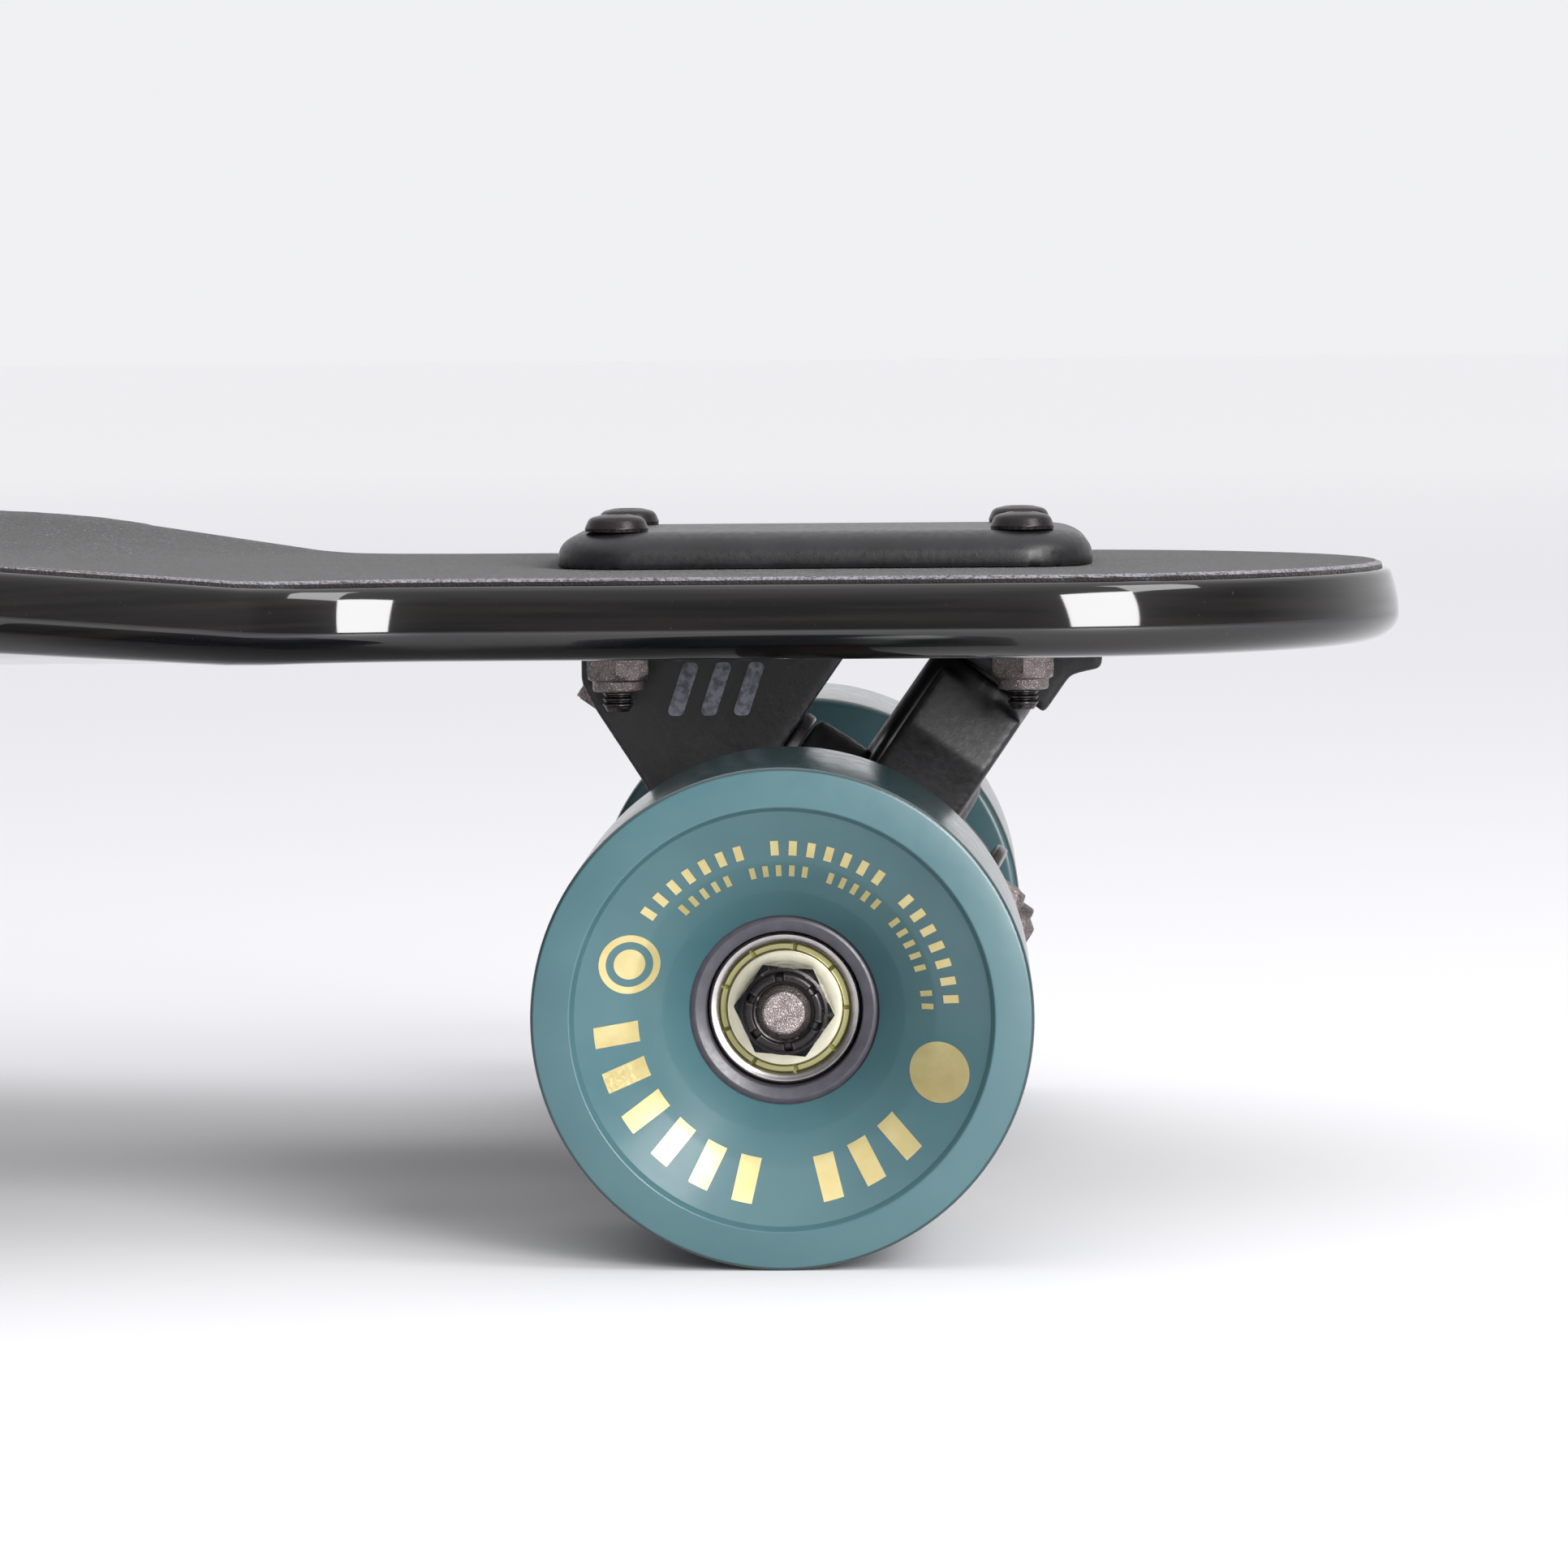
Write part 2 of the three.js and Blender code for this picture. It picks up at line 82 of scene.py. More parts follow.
HALF_LENGTH = reach("deck", 0)[1]
PLATFORM_HALF = reach("deck", 1)[1]
MIDDLE_HALF = PLATFORM_HALF - 3
NECK_HALF = 66
TIP_START = AXLE.x + 35
CUTAWAY_START = AXLE.x - 52
CUTAWAY_RADIUS = 40
SHOULDER_RADIUS = 60
FLARE = math.radians(45)
RAIL_START = 68
RAIL_RISE = 7.2

# The truck, in its own frame: x outward from the axle, z up.
BOLT_CENTRE = 4
BOLT_PITCH = (63.5, 41.3)
BOLT_HOLE = 2.9
SLOT = (-34.2, 44.6)
SLOT_HALF = 14.6
FLANGE = (-37.2, 46.8)
FLANGE_HALF = 29
TOWER_HALF = 14
HOUSING_HALF = 11
HANGER_HALF = 81.2

# Places up the steering axis, or along the kingpin that crosses it.
KINGPIN_UP = 20
KINGPIN_BORE = 5.06
SEAT_AT = -20.5
NOSE_SHOULDER_UP = 52.5
NOSE_TIP_UP = 61.6

# Distances across the board from its middle.
OUTER_BEARING_FACE = 106.2
INNER_BEARING_FACE = 89.0
BEARING_WIDTH = 7
AXLE_END = 114.3
AXLE_BORE = 4.05


# -------- shader graphs
class Graph:
    """A node tree under construction."""

    def __init__(self, tree):
        self.tree = tree

    def node(self, kind, inputs=None, **settings):
        made = self.tree.nodes.new(kind)
        for key, value in settings.items():
            setattr(made, key, value)
        for key, value in (inputs or {}).items():
            self.wire(made.inputs[key], value)
        return made

    def wire(self, socket, value):
        if isinstance(value, bpy.types.NodeSocket):
            self.tree.links.new(value, socket)
        else:
            socket.default_value = value

    def between(self, value, low, high, start=0.0, end=1.0):
        """value from low to high, as a number from start to end."""
        inputs = {"Value": value, "From Min": low, "From Max": high, "To Min": start, "To Max": end}
        return self.node("ShaderNodeMapRange", inputs).outputs[0]

    def math(self, operation, first, second):
        return self.node("ShaderNodeMath", {0: first, 1: second}, operation=operation).outputs[0]


class Finish(Graph):
    """A procedural material under construction."""

    def __init__(self, name, **settings):
        self.material = bpy.data.materials.new(name)
        self.material.use_nodes = True
        super().__init__(self.material.node_tree)
        self.shader = self.tree.nodes["Principled BSDF"]
        for key, value in settings.items():
            self.feed(key.replace("_", " "), value)
        self.place = self.node("ShaderNodeTexCoord").outputs["Object"]

    def feed(self, name, value):
        """Sets or wires a socket of the surface shader."""
        self.wire(self.shader.inputs[name], value)

    def stretched(self, x, y, z):
        """The place with each direction multiplied: a pattern is drawn out along the small ones."""
        return self.node("ShaderNodeMapping", {"Vector": self.place, "Scale": (x, y, z)}).outputs[0]

    def grain(self, size, detail, roughness=0.5, place=None):
        """Noise from 0 to 1 whose features are about size millimetres."""
        inputs = {"Vector": place or self.place, "Scale": 1 / (size * MM)}
        inputs |= {"Detail": detail, "Roughness": roughness}
        return self.node("ShaderNodeTexNoise", inputs).outputs["Fac"]

    def cells(self, size):
        """Distance from the nearest of a scatter of points about size millimetres apart, and its colour."""
        inputs = {"Vector": self.place, "Scale": 1 / (size * MM)}
        return self.node("ShaderNodeTexVoronoi", inputs).outputs

    def radius(self):
        """Distance from the piece's own turning axis, in millimetres."""
        flat = self.node("ShaderNodeVectorMath", {0: self.place, 1: (1, 1, 0)}, operation="MULTIPLY")
        length = self.node("ShaderNodeVectorMath", {0: flat.outputs[0]}, operation="LENGTH")
        return self.math("DIVIDE", length.outputs["Value"], MM)

    def raised(self, low, high):
        """How much a place stands out as a raised edge, from 0 to 1."""
        return self.between(self.node("ShaderNodeNewGeometry").outputs["Pointiness"], low, high)

    def mix(self, share, first, second):
        """One colour turning into another."""
        made = self.node("ShaderNodeMix", {"Factor": share}, data_type="RGBA")
        colours = [socket for socket in made.inputs if socket.type == "RGBA"]
        for socket, value in zip(colours, (first, second)):
            self.wire(socket, (*value, 1) if isinstance(value, tuple) else value)
        return next(socket for socket in made.outputs if socket.type == "RGBA")

    def cloudy(self, size, detail, first, second, low=0.3, high=0.7):
        """One colour turning into another, in clouds of that size."""
        return self.mix(self.between(self.grain(size, detail), low, high), first, second)

    def patchy(self, size, detail, smooth, rough):
        """A roughness that varies in patches of that size."""
        return self.between(self.grain(size, detail), 0.3, 0.7, smooth, rough)

    def done(self, colour, roughness, *relief):
        """The material, with relief from layers of (height from 0 to 1, depth in millimetres)."""
        self.feed("Base Color", colour)
        self.feed("Roughness", roughness)
        normal = None
        for height, depth in relief:
            inputs = {"Height": height, "Distance": depth * MM, "Strength": 1.0}
            if normal is not None:
                inputs["Normal"] = normal
            normal = self.node("ShaderNodeBump", inputs).outputs["Normal"]
        if normal is not None:
            self.feed("Normal", normal)
        return self.material


# -------- materials
def urethane():
    """Soft teal wheel urethane: satin faces and a glossier tread with a fine moulded grain; the tread is
    also painted darker, as painted shade from the deck above it.
    """
    finish = Finish("urethane", Specular_IOR_Level=0.5, Coat_Weight=0.3, Coat_Roughness=0.16)
    tread = finish.between(finish.radius(), WHEEL_RADIUS - 0.55, WHEEL_RADIUS - 0.35)
    face = finish.cloudy(14, 3, (0.05, 0.121, 0.138), (0.06, 0.136, 0.153))
    satin = finish.patchy(3, 3, 0.33, 0.41)
    return finish.done(
        # The tread's darker colour is painted shade: it stands in for the shade under the deck and the dark
        # underside reflected in it.
        finish.mix(tread, face, (0.02, 0.046, 0.05)),
        finish.math("SUBTRACT", satin, finish.math("MULTIPLY", tread, 0.17)),
        (finish.grain(5, 2), 0.05),
        (finish.math("MULTIPLY", finish.grain(0.35, 1), tread), 0.05),
        (finish.grain(0.6, 2), 0.004),
    )


def print_gold():
    """Pale gold foil of the wheel's printed marks."""
    finish = Finish("print_gold", Metallic=0.75)
    return finish.done(
        finish.cloudy(4, 2, (0.74, 0.6, 0.27), (0.82, 0.7, 0.36)),
        finish.patchy(0.4, 2, 0.3, 0.42),
        (finish.grain(0.25, 1), 0.006),
    )


def core_plastic():
    """Moulded dark plastic with a faint purple tone."""
    finish = Finish("core_plastic", Coat_Weight=0.2, Coat_Roughness=0.2)
    return finish.done(
        finish.cloudy(2, 3, (0.05, 0.047, 0.06), (0.07, 0.066, 0.082)),
        finish.patchy(0.8, 2, 0.32, 0.45),
        (finish.grain(0.3, 2), 0.01),
    )


def turned_steel(name, light, dark, roughness, channel=None):
    """Steel finished on a lathe, with faint rings about the turning axis.

    channel is a radius and the colour of the shallow groove outside it.
    """
    finish = Finish(name, Metallic=1.0)
    rings = finish.node("ShaderNodeCombineXYZ", {"X": finish.math("MULTIPLY", finish.radius(), MM)})
    band = finish.grain(0.35, 2, place=rings.outputs[0])
    colour = finish.cloudy(2.5, 3, light, dark, low=0.35)
    if channel:
        start, tone = channel
        colour = finish.mix(finish.between(finish.radius(), start - 0.1, start + 0.1), colour, tone)
    return finish.done(
        colour,
        finish.between(band, 0.3, 0.7, roughness * 0.8, roughness * 1.25),
        (band, 0.004),
        (finish.grain(0.3, 1), 0.003),
    )


def grainy_steel():
    """Zinc plated steel with a fine sparkling grain and a warm tone."""
    finish = Finish("grainy_steel", Metallic=1.0)
    plating = finish.cloudy(1.6, 3, (0.15, 0.124, 0.124), (0.25, 0.21, 0.205))
    sparkle = finish.between(finish.grain(0.22, 3, 0.7), 0.52, 0.66)
    return finish.done(
        finish.mix(sparkle, plating, (0.55, 0.49, 0.48)),
        finish.patchy(0.25, 2, 0.3, 0.55),
        (finish.cells(0.16)["Distance"], 0.06),
        (finish.grain(0.3, 2), 0.03),
    )


def black_oxide():
    """Black oxide steel whose raised edges are painted lighter in patches: partly rubbed wear, partly a
    painted highlight standing for glints on the edges.
    """
    finish = Finish("black_oxide", Metallic=0.9)
    rubbed = finish.between(finish.grain(0.8, 3), 0.35, 0.6)
    # Raised edges are painted lighter: rubbed wear together with a painted highlight of edge glints.
    worn = finish.math("MULTIPLY", finish.raised(0.52, 0.6), rubbed)
    return finish.done(
        finish.mix(worn, (0.038, 0.034, 0.035), (0.2, 0.18, 0.18)),
        finish.patchy(0.5, 2, 0.22, 0.4),
        (finish.grain(0.2, 2), 0.012),
    )


def deck_lacquer():
    """Laminated wood edge under black gloss lacquer: long faint streaks, small dust marks."""
    finish = Finish("deck_lacquer", Coat_Weight=1.0, Coat_Roughness=0.05, Coat_IOR=1.6)
    finish.feed("Specular IOR Level", 0.05)
    ply = finish.grain(1.2, 3, place=finish.stretched(0.02, 0.02, 0.8))
    streak = finish.between(ply, 0.42, 0.66)
    warm = finish.mix(streak, (0.0035, 0.003, 0.0035), (0.009, 0.007, 0.006))
    return finish.done(
        finish.cloudy(0.7, 3, warm, (0.03, 0.028, 0.03), 0.7, 0.8),
        finish.between(ply, 0.3, 0.7, 0.25, 0.5),
        (finish.grain(14, 2, place=finish.stretched(0.3, 0.3, 1)), 0.05),
        (finish.grain(0.5, 2), 0.002),
    )


def griptape():
    """Black silicon carbide grit with a dark cut edge; its upward-leaning rim and a scatter of single
    grains are painted pale, as painted highlights of grit catching the light.
    """
    finish = Finish("griptape", Specular_IOR_Level=0.5, Sheen_Weight=0.2, Sheen_Roughness=0.4)
    cells = finish.cells(0.38)
    normal = finish.node("ShaderNodeNewGeometry").outputs["True Normal"]
    up = finish.node("ShaderNodeSeparateXYZ", {0: normal}).outputs["Z"]
    # The rim that leans up along the top edge is painted pale in ragged patches: a painted highlight of
    # grit catching the light.
    rim = finish.math("MULTIPLY", finish.between(up, 0.97, 0.94), finish.between(up, 0.5, 0.7))
    ragged = finish.between(finish.grain(0.6, 3), 0.3, 0.6)
    # A scatter of single grains is painted bright: painted glints of grit catching the light.
    sparkle = finish.between(cells["Color"], 0.8, 0.98)
    dark = finish.cloudy(40, 4, (0.017, 0.017, 0.018), (0.025, 0.025, 0.027), 0.35, 0.75)
    grit_with_painted_glints = finish.mix(finish.math("MULTIPLY", sparkle, 0.7), dark, (0.32, 0.32, 0.34))
    pale = finish.mix(finish.grain(0.3, 2), (0.14, 0.13, 0.155), (0.36, 0.34, 0.39))
    top = finish.mix(finish.math("MULTIPLY", rim, ragged), grit_with_painted_glints, pale)
    return finish.done(
        finish.mix(finish.between(up, 0.4, 0.2), top, (0.012, 0.009, 0.009)),
        finish.between(cells["Distance"], 0.0, 0.6, 0.55, 0.95),
        (finish.between(cells["Distance"], 0.0, 0.7, 1, 0), 0.2),
        (finish.grain(0.2, 2), 0.06),
    )


def truck_paint():
    """Satin black powder coat on cast aluminium, with a soft orange peel."""
    finish = Finish("truck_paint", Coat_Weight=0.15, Coat_Roughness=0.3, Specular_IOR_Level=0.4)
    worn = finish.math("MULTIPLY", finish.raised(0.53, 0.62), 0.5)
    black = finish.cloudy(9, 4, (0.008, 0.0075, 0.0085), (0.015, 0.014, 0.016), 0.4, 0.75)
    return finish.done(
        finish.mix(worn, black, (0.09, 0.088, 0.09)),
        finish.patchy(1.2, 3, 0.34, 0.5),
        (finish.grain(0.9, 2), 0.03),
        (finish.grain(0.25, 2), 0.015),
    )


def bushing_urethane():
    """Hard black urethane with faint moulding marks."""
    finish = Finish("bushing_urethane", Coat_Weight=0.1, Coat_Roughness=0.3)
    return finish.done(
        finish.cloudy(3, 3, (0.01, 0.01, 0.011), (0.022, 0.021, 0.023), low=0.35),
        finish.patchy(1, 3, 0.35, 0.55),
        (finish.grain(0.5, 2), 0.02),
    )


def nylon():
    """Off-white nylon of a lock nut's insert."""
    finish = Finish("nylon", Specular_IOR_Level=0.5)
    return finish.done(
        finish.cloudy(1, 3, (0.3, 0.3, 0.3), (0.42, 0.42, 0.41)),
        finish.patchy(0.5, 2, 0.4, 0.6),
        (finish.grain(0.3, 2), 0.01),
    )


def emblem_paint():
    """Pale worn paint of the plain marks cast on the truck."""
    finish = Finish("emblem_paint")
    chips = finish.between(finish.grain(1.2, 4), 0.42, 0.62)
    return finish.done(
        finish.mix(chips, (0.17, 0.18, 0.22), (0.07, 0.07, 0.085)),
        finish.between(chips, 0, 1, 0.45, 0.6),
        (finish.grain(0.4, 2), 0.02),
    )


URETHANE = urethane()
PRINT_GOLD = print_gold()
CORE_PLASTIC = core_plastic()
OLIVE = (0.36, 0.34, 0.17)
RACE_STEEL = turned_steel("race_steel", (0.56, 0.52, 0.51), (0.44, 0.41, 0.41), 0.26)
SHIELD_STEEL = turned_steel("shield_steel", (0.7, 0.67, 0.53), (0.6, 0.57, 0.44), 0.34, (8.4, OLIVE))
WASHER_STEEL = turned_steel("washer_steel", (0.5, 0.47, 0.47), (0.4, 0.37, 0.37), 0.35)
GRAINY_STEEL = grainy_steel()
BLACK_OXIDE = black_oxide()
DECK_LACQUER = deck_lacquer()
GRIPTAPE = griptape()
TRUCK_PAINT = truck_paint()
BUSHING_URETHANE = bushing_urethane()
NYLON = nylon()
EMBLEM_PAINT = emblem_paint()


# -------- meshes
def mesh_of(name, points, faces, material, crease=35):
    """A mesh from points in millimetres, smooth except over edges sharper than crease degrees."""
    mesh = bpy.data.meshes.new(name)
    mesh.from_pydata([Vector(point) * MM for point in points], [], faces)
    mesh.materials.append(material)
    mesh.update()
    return smoothed(mesh, crease)


def smoothed(mesh, crease):
    mesh.shade_smooth()
    mesh.set_sharp_from_angle(angle=math.radians(crease))
    return mesh


def linked(name, data):
    """A new object of the scene that holds a mesh, a light or a camera."""
    made = bpy.data.objects.new(name, data)
    bpy.context.scene.collection.objects.link(made)
    return made


def modified(mesh, *steps, crease=None):
    """The mesh after modifiers, each given as (kind, settings)."""
    holder = linked("holder", mesh)
    for kind, settings in steps:
        modifier = holder.modifiers.new(kind, kind)
        for key, value in settings.items():
            setattr(modifier, key, value)
    graph = bpy.context.evaluated_depsgraph_get()
    result = bpy.data.meshes.new_from_object(holder.evaluated_get(graph), depsgraph=graph)
    result.name = mesh.name
    bpy.data.objects.remove(holder)
    return smoothed(result, crease) if crease else result


def combined(mesh, operation, tools, crease=35):
    """The mesh joined with, or cut by, each tool mesh in turn."""
    holders = [linked("tool", tool) for tool in tools]
    settings = [{"operation": operation, "object": holder, "solver": "EXACT"} for holder in holders]
    steps = [("BOOLEAN", setting) for setting in settings]
    result = modified(mesh, *steps, crease=crease)
    for holder in holders:
        bpy.data.objects.remove(holder)
    return result


def cast(mesh, voxel=0.6, rounds=8):
    """The mesh with every edge softened as on a casting."""
    return modified(
        mesh,
        ("REMESH", {"mode": "VOXEL", "voxel_size": voxel * MM}),
        ("SMOOTH", {"factor": 0.5, "iterations": rounds}),
        crease=60,
    )


def moved(mesh, matrix):
    mesh.transform(matrix)
    return mesh


def shift(x, y, z):
    return Matrix.Translation(Vector((x, y, z)) * MM)


def rounded(corners, steps=5):
    """An outline through corners (x, y, fillet radius), each fillet drawn as an arc."""
    points = []
    for i, (x, y, fillet) in enumerate(corners):
        here = Vector((x, y))
        if fillet == 0:
            points.append((x, y))
            continue
        back = (Vector(corners[i - 1][:2]) - here).normalized()
        onward = (Vector(corners[(i + 1) % len(corners)][:2]) - here).normalized()
        half = back.angle(onward) / 2
        centre = here + (back + onward).normalized() * (fillet / math.sin(half))
        start = here + back * (fillet / math.tan(half)) - centre
        end = here + onward * (fillet / math.tan(half)) - centre
        from_angle = math.atan2(start.y, start.x)
        turn = (math.atan2(end.y, end.x) - from_angle + math.pi) % (2 * math.pi) - math.pi
        for k in range(steps + 1):
            angle = from_angle + turn * k / steps
            points.append((centre.x + fillet * math.cos(angle), centre.y + fillet * math.sin(angle)))
    return points


def rounded_box(x0, x1, half, corner, steps=5):
    """A rectangle from x0 to x1 with rounded corners, anticlockwise."""
    corners = [(x0, -half, corner), (x1, -half, corner), (x1, half, corner), (x0, half, corner)]
    return rounded(corners, steps)


def turned(name, profile, material, segments=96, across=None, phase=0.0, shape=None, crease=35):
    """A profile of (radius, z) turned about Z: closed on itself, or from the axis to the axis.

    across cuts it to a hexagon that wide over its flats, and shape moves each point by its angle.
    """
    points = []
    rings = []
    for radius, z in profile:
        if radius < 1e-6:
            rings.append([len(points)] * segments)
            points.append((0, 0, z))
            continue
        rings.append(range(len(points), len(points) + segments))
        for i in range(segments):
            angle = 2 * math.pi * i / segments
            reached, height = radius, z
            if across:
                from_flat = (angle + math.pi / 6) % (math.pi / 3) - math.pi / 6
                reached = min(radius, across / 2 / math.cos(from_flat))
            if shape:
                reached, height = shape(angle, reached, height)
            turn = angle + math.radians(phase)
            points.append((reached * math.cos(turn), reached * math.sin(turn), height))
    on_axis = profile[0][0] < 1e-6 and profile[-1][0] < 1e-6
    faces = []
    for k in range(len(rings) - 1 if on_axis else len(rings)):
        lower, upper = rings[k], rings[(k + 1) % len(rings)]
        for i in range(segments):
            j = (i + 1) % segments
            corners = dict.fromkeys([lower[i], lower[j], upper[j], upper[i]])
            if len(corners) > 2:
                faces.append(list(corners))
    return mesh_of(name, points, faces, material, crease)


def stack(name, layers, material):
    """A closed body through layers of (outline, z); the outlines match and go anticlockwise."""
    count = len(layers[0][0])
    points = [(x, y, z) for outline, z in layers for x, y in outline]
    top = (len(layers) - 1) * count
    faces = [list(range(count))[::-1], list(range(top, top + count))]
    for start in range(0, top, count):
        for i in range(count):
            j = (i + 1) % count
            faces.append([start + i, start + j, start + count + j, start + count + i])
    return mesh_of(name, points, faces, material)


def prism(name, outline, low, high, material):
    """A closed outline of (x, y), given anticlockwise, from z = low to z = high."""
    return stack(name, [(outline, low), (outline, high)], material)


def ring_mesh(name, bore, radius, low, high, material=WASHER_STEEL, fillets=(0.15, 0.2), steps=3):
    """A plain ring; fillets are the ones at its bore and at its rim."""
    inner, outer = fillets
    corners = [(bore, low, inner), (radius, low, outer), (radius, high, outer), (bore, high, inner)]
    return turned(name, rounded(corners, steps), material, 72)


def rod(radius, low, high, material=TRUCK_PAINT, segments=48):
    return turned("rod", [(0, low), (radius, low), (radius, high), (0, high)], material, segments)


def side_plate(outline, half):
    """An outline in x and z, extruded across the board."""
    return moved(prism("plate", outline, -half, half, TRUCK_PAINT), QUARTER_ROUND_X)


def thread(radius, low, high, pitch, depth):
    """The profile of a thread from low to high, as (radius, z)."""
    turns = int((high - low) / pitch)
    points = []
    for i in range(turns):
        z = low + (high - low) * i / turns
        root = radius - depth
        for reached, share in ((root, 0.06), (root, 0.2), (radius, 0.5), (radius, 0.7)):
            points.append((reached, z + pitch * share))
    return points


def stamp(name, mesh, where, body, slot, *nodes):
    """A piece of the object with that mesh, riding on a body, standing for CAD nodes."""
    piece = linked(name, mesh)
    piece.matrix_world = where
    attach(piece, body)
    if nodes:
        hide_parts(*nodes)


# -------- places
def truck_place(end):
    """The truck's own frame: x outward from the axle, z up."""
    turn = 0 if end == "front" else math.pi
    where = Matrix.Translation(JOINTS[f"{end}_steer"]["pos_m"])
    return where @ Matrix.Rotation(turn, 4, "Z")


# Steering frame: x along the kingpin, outward and down, and z up the steering axis.
STEERING = Matrix.Rotation(TILT, 4, "Y")
# Pieces turned about z are laid along the kingpin or the axle.
ACROSS_STEERING = shift(0, 0, KINGPIN_UP) @ Matrix.Rotation(math.pi / 2, 4, "Y")
ALONG_KINGPIN = STEERING @ ACROSS_STEERING
ALONG_AXLE = Matrix.Rotation(-math.pi / 2, 4, "X")


def wheel_place(end, side, roll=0.0):
    """The wheel's own frame: z outward along the axle, y up and x to the right as seen from outside."""
    where = Matrix.Translation(JOINTS[f"{end}_{side}_roll"]["pos_m"])
    facing = QUARTER_ROUND_X
    if side == "left":
        facing = Matrix.Rotation(math.pi, 4, "Z") @ facing
    return where @ facing @ Matrix.Rotation(math.radians(roll), 4, "Z")


def side_point(up, along):
    """A point (x, z) of the truck's side view from its place up the steering axis and along the kingpin."""
    cos, sin = math.cos(TILT), math.sin(TILT)
    return along * cos + up * sin, up * cos - along * sin


def bolt_places():
    """Each bolt of a truck: its name and its (x, y) in the truck's frame."""
    for along_name, along in (("outer", 1), ("inner", -1)):
        for side_name, side in (("right", -1), ("left", 1)):
            x = BOLT_CENTRE + along * BOLT_PITCH[0] / 2
            yield f"{along_name}_{side_name}", x, side * BOLT_PITCH[1] / 2


# -------- deck and griptape
def quarter_outline():
    """The outline from the nose tip to the board's middle, as (x, half width)."""
    points = []

    def arc(centre_x, centre_half, radius_x, radius_half, start, end, steps):
        for i in range(steps):
            angle = math.radians(start + (end - start) * i / steps)
            x = centre_x + radius_x * math.cos(angle)
            points.append((x, centre_half + radius_half * math.sin(angle)))

    arc(TIP_START, 0, HALF_LENGTH - TIP_START, NECK_HALF, 0, 90, 32)
    for i in range(8):
        points.append((TIP_START + (CUTAWAY_START - TIP_START) * i / 8, NECK_HALF))
    flare = math.degrees(FLARE)
    arc(CUTAWAY_START, NECK_HALF + CUTAWAY_RADIUS, CUTAWAY_RADIUS, CUTAWAY_RADIUS, 270, 270 - flare, 16)
    curves = CUTAWAY_RADIUS + SHOULDER_RADIUS
    straight = (PLATFORM_HALF - NECK_HALF - curves * (1 - math.cos(FLARE))) / math.tan(FLARE)
    shoulder_end = CUTAWAY_START - curves * math.sin(FLARE) - straight
    points.append((
        CUTAWAY_START - CUTAWAY_RADIUS * math.sin(FLARE),
        NECK_HALF + CUTAWAY_RADIUS * (1 - math.cos(FLARE)),
    ))
    shoulder_half = PLATFORM_HALF - SHOULDER_RADIUS
    arc(shoulder_end, shoulder_half, SHOULDER_RADIUS, SHOULDER_RADIUS, 90 - flare, 90, 20)
    for i in range(24):
        x = shoulder_end * (1 - i / 24)
        waist = (PLATFORM_HALF - MIDDLE_HALF) * math.cos(x / shoulder_end * math.pi / 2)
        points.append((x, PLATFORM_HALF - waist))
    return points


def whole_outline():
    """The whole outline, anticlockwise from the nose tip."""
    quarter = quarter_outline()
    half = quarter + [(0, MIDDLE_HALF)] + [(-x, y) for x, y in reversed(quarter)]
    return half + [(x, -y) for x, y in reversed(half[1:-1])]


OUTLINE = whole_outline()


def rise(y):
    """Height of the deck's surface above its flat middle: the platform's rails curl up."""
    share = max(0, abs(y) - RAIL_START) / (PLATFORM_HALF - RAIL_START)
    return RAIL_RISE * share**1.4


def edge_ring(inset, share, z, ragged=0.0):
    """The outline moved inward by inset, or drawn in towards the long axis by a share of its width."""
    ring = []
    count = len(OUTLINE)
    for i, (x, y) in enumerate(OUTLINE):
        before = Vector(OUTLINE[i - 1])
        run = (Vector(OUTLINE[(i + 1) % count]) - before).normalized()
        reach_in = inset + ragged * noise.noise(Vector((x, y, z)) * 0.7)
        px = (x - reach_in * run.y) * (1 - 0.2 * (1 - share))
        py = (y + reach_in * run.x) * share
        ring.append((px, py, AXLE.z + z + rise(py)))
    return ring


def board_skin(name, rings, material):
    """A closed skin over rings, from the top middle round the edge to the bottom middle."""
    count = len(OUTLINE)
    points = [point for ring in rings for point in ring]
    faces = []
    for r in range(len(rings) - 1):
        for i in range(count):
            j = (i + 1) % count
            faces.append([r * count + i, (r + 1) * count + i, (r + 1) * count + j, r * count + j])
    for start, flip in ((0, False), ((len(rings) - 1) * count, True)):
        for i in range(count // 2):
            quad = [start + k for k in (i, i + 1, (count - i - 1) % count, (count - i) % count)]
            quad = list(dict.fromkeys(quad))
            if len(quad) > 2:
                faces.append(quad[::-1] if flip else quad)
    return mesh_of(name, points, faces, material, crease=50)


def openings():
    """Tools for the slot and the bolt holes of both ends."""
    tools = []
    low, high = DECK_BOTTOM - 5, GRIP_TOP + 5
    for end in ENDS:
        made = [prism("slot", rounded_box(*SLOT, SLOT_HALF, 1), low, high, DECK_LACQUER)]
        for _, x, y in bolt_places():
            made.append(moved(rod(BOLT_HOLE, low, high, DECK_LACQUER, 24), shift(x, y, 0)))
        tools += [moved(tool, truck_place(end)) for tool in made]
    return tools


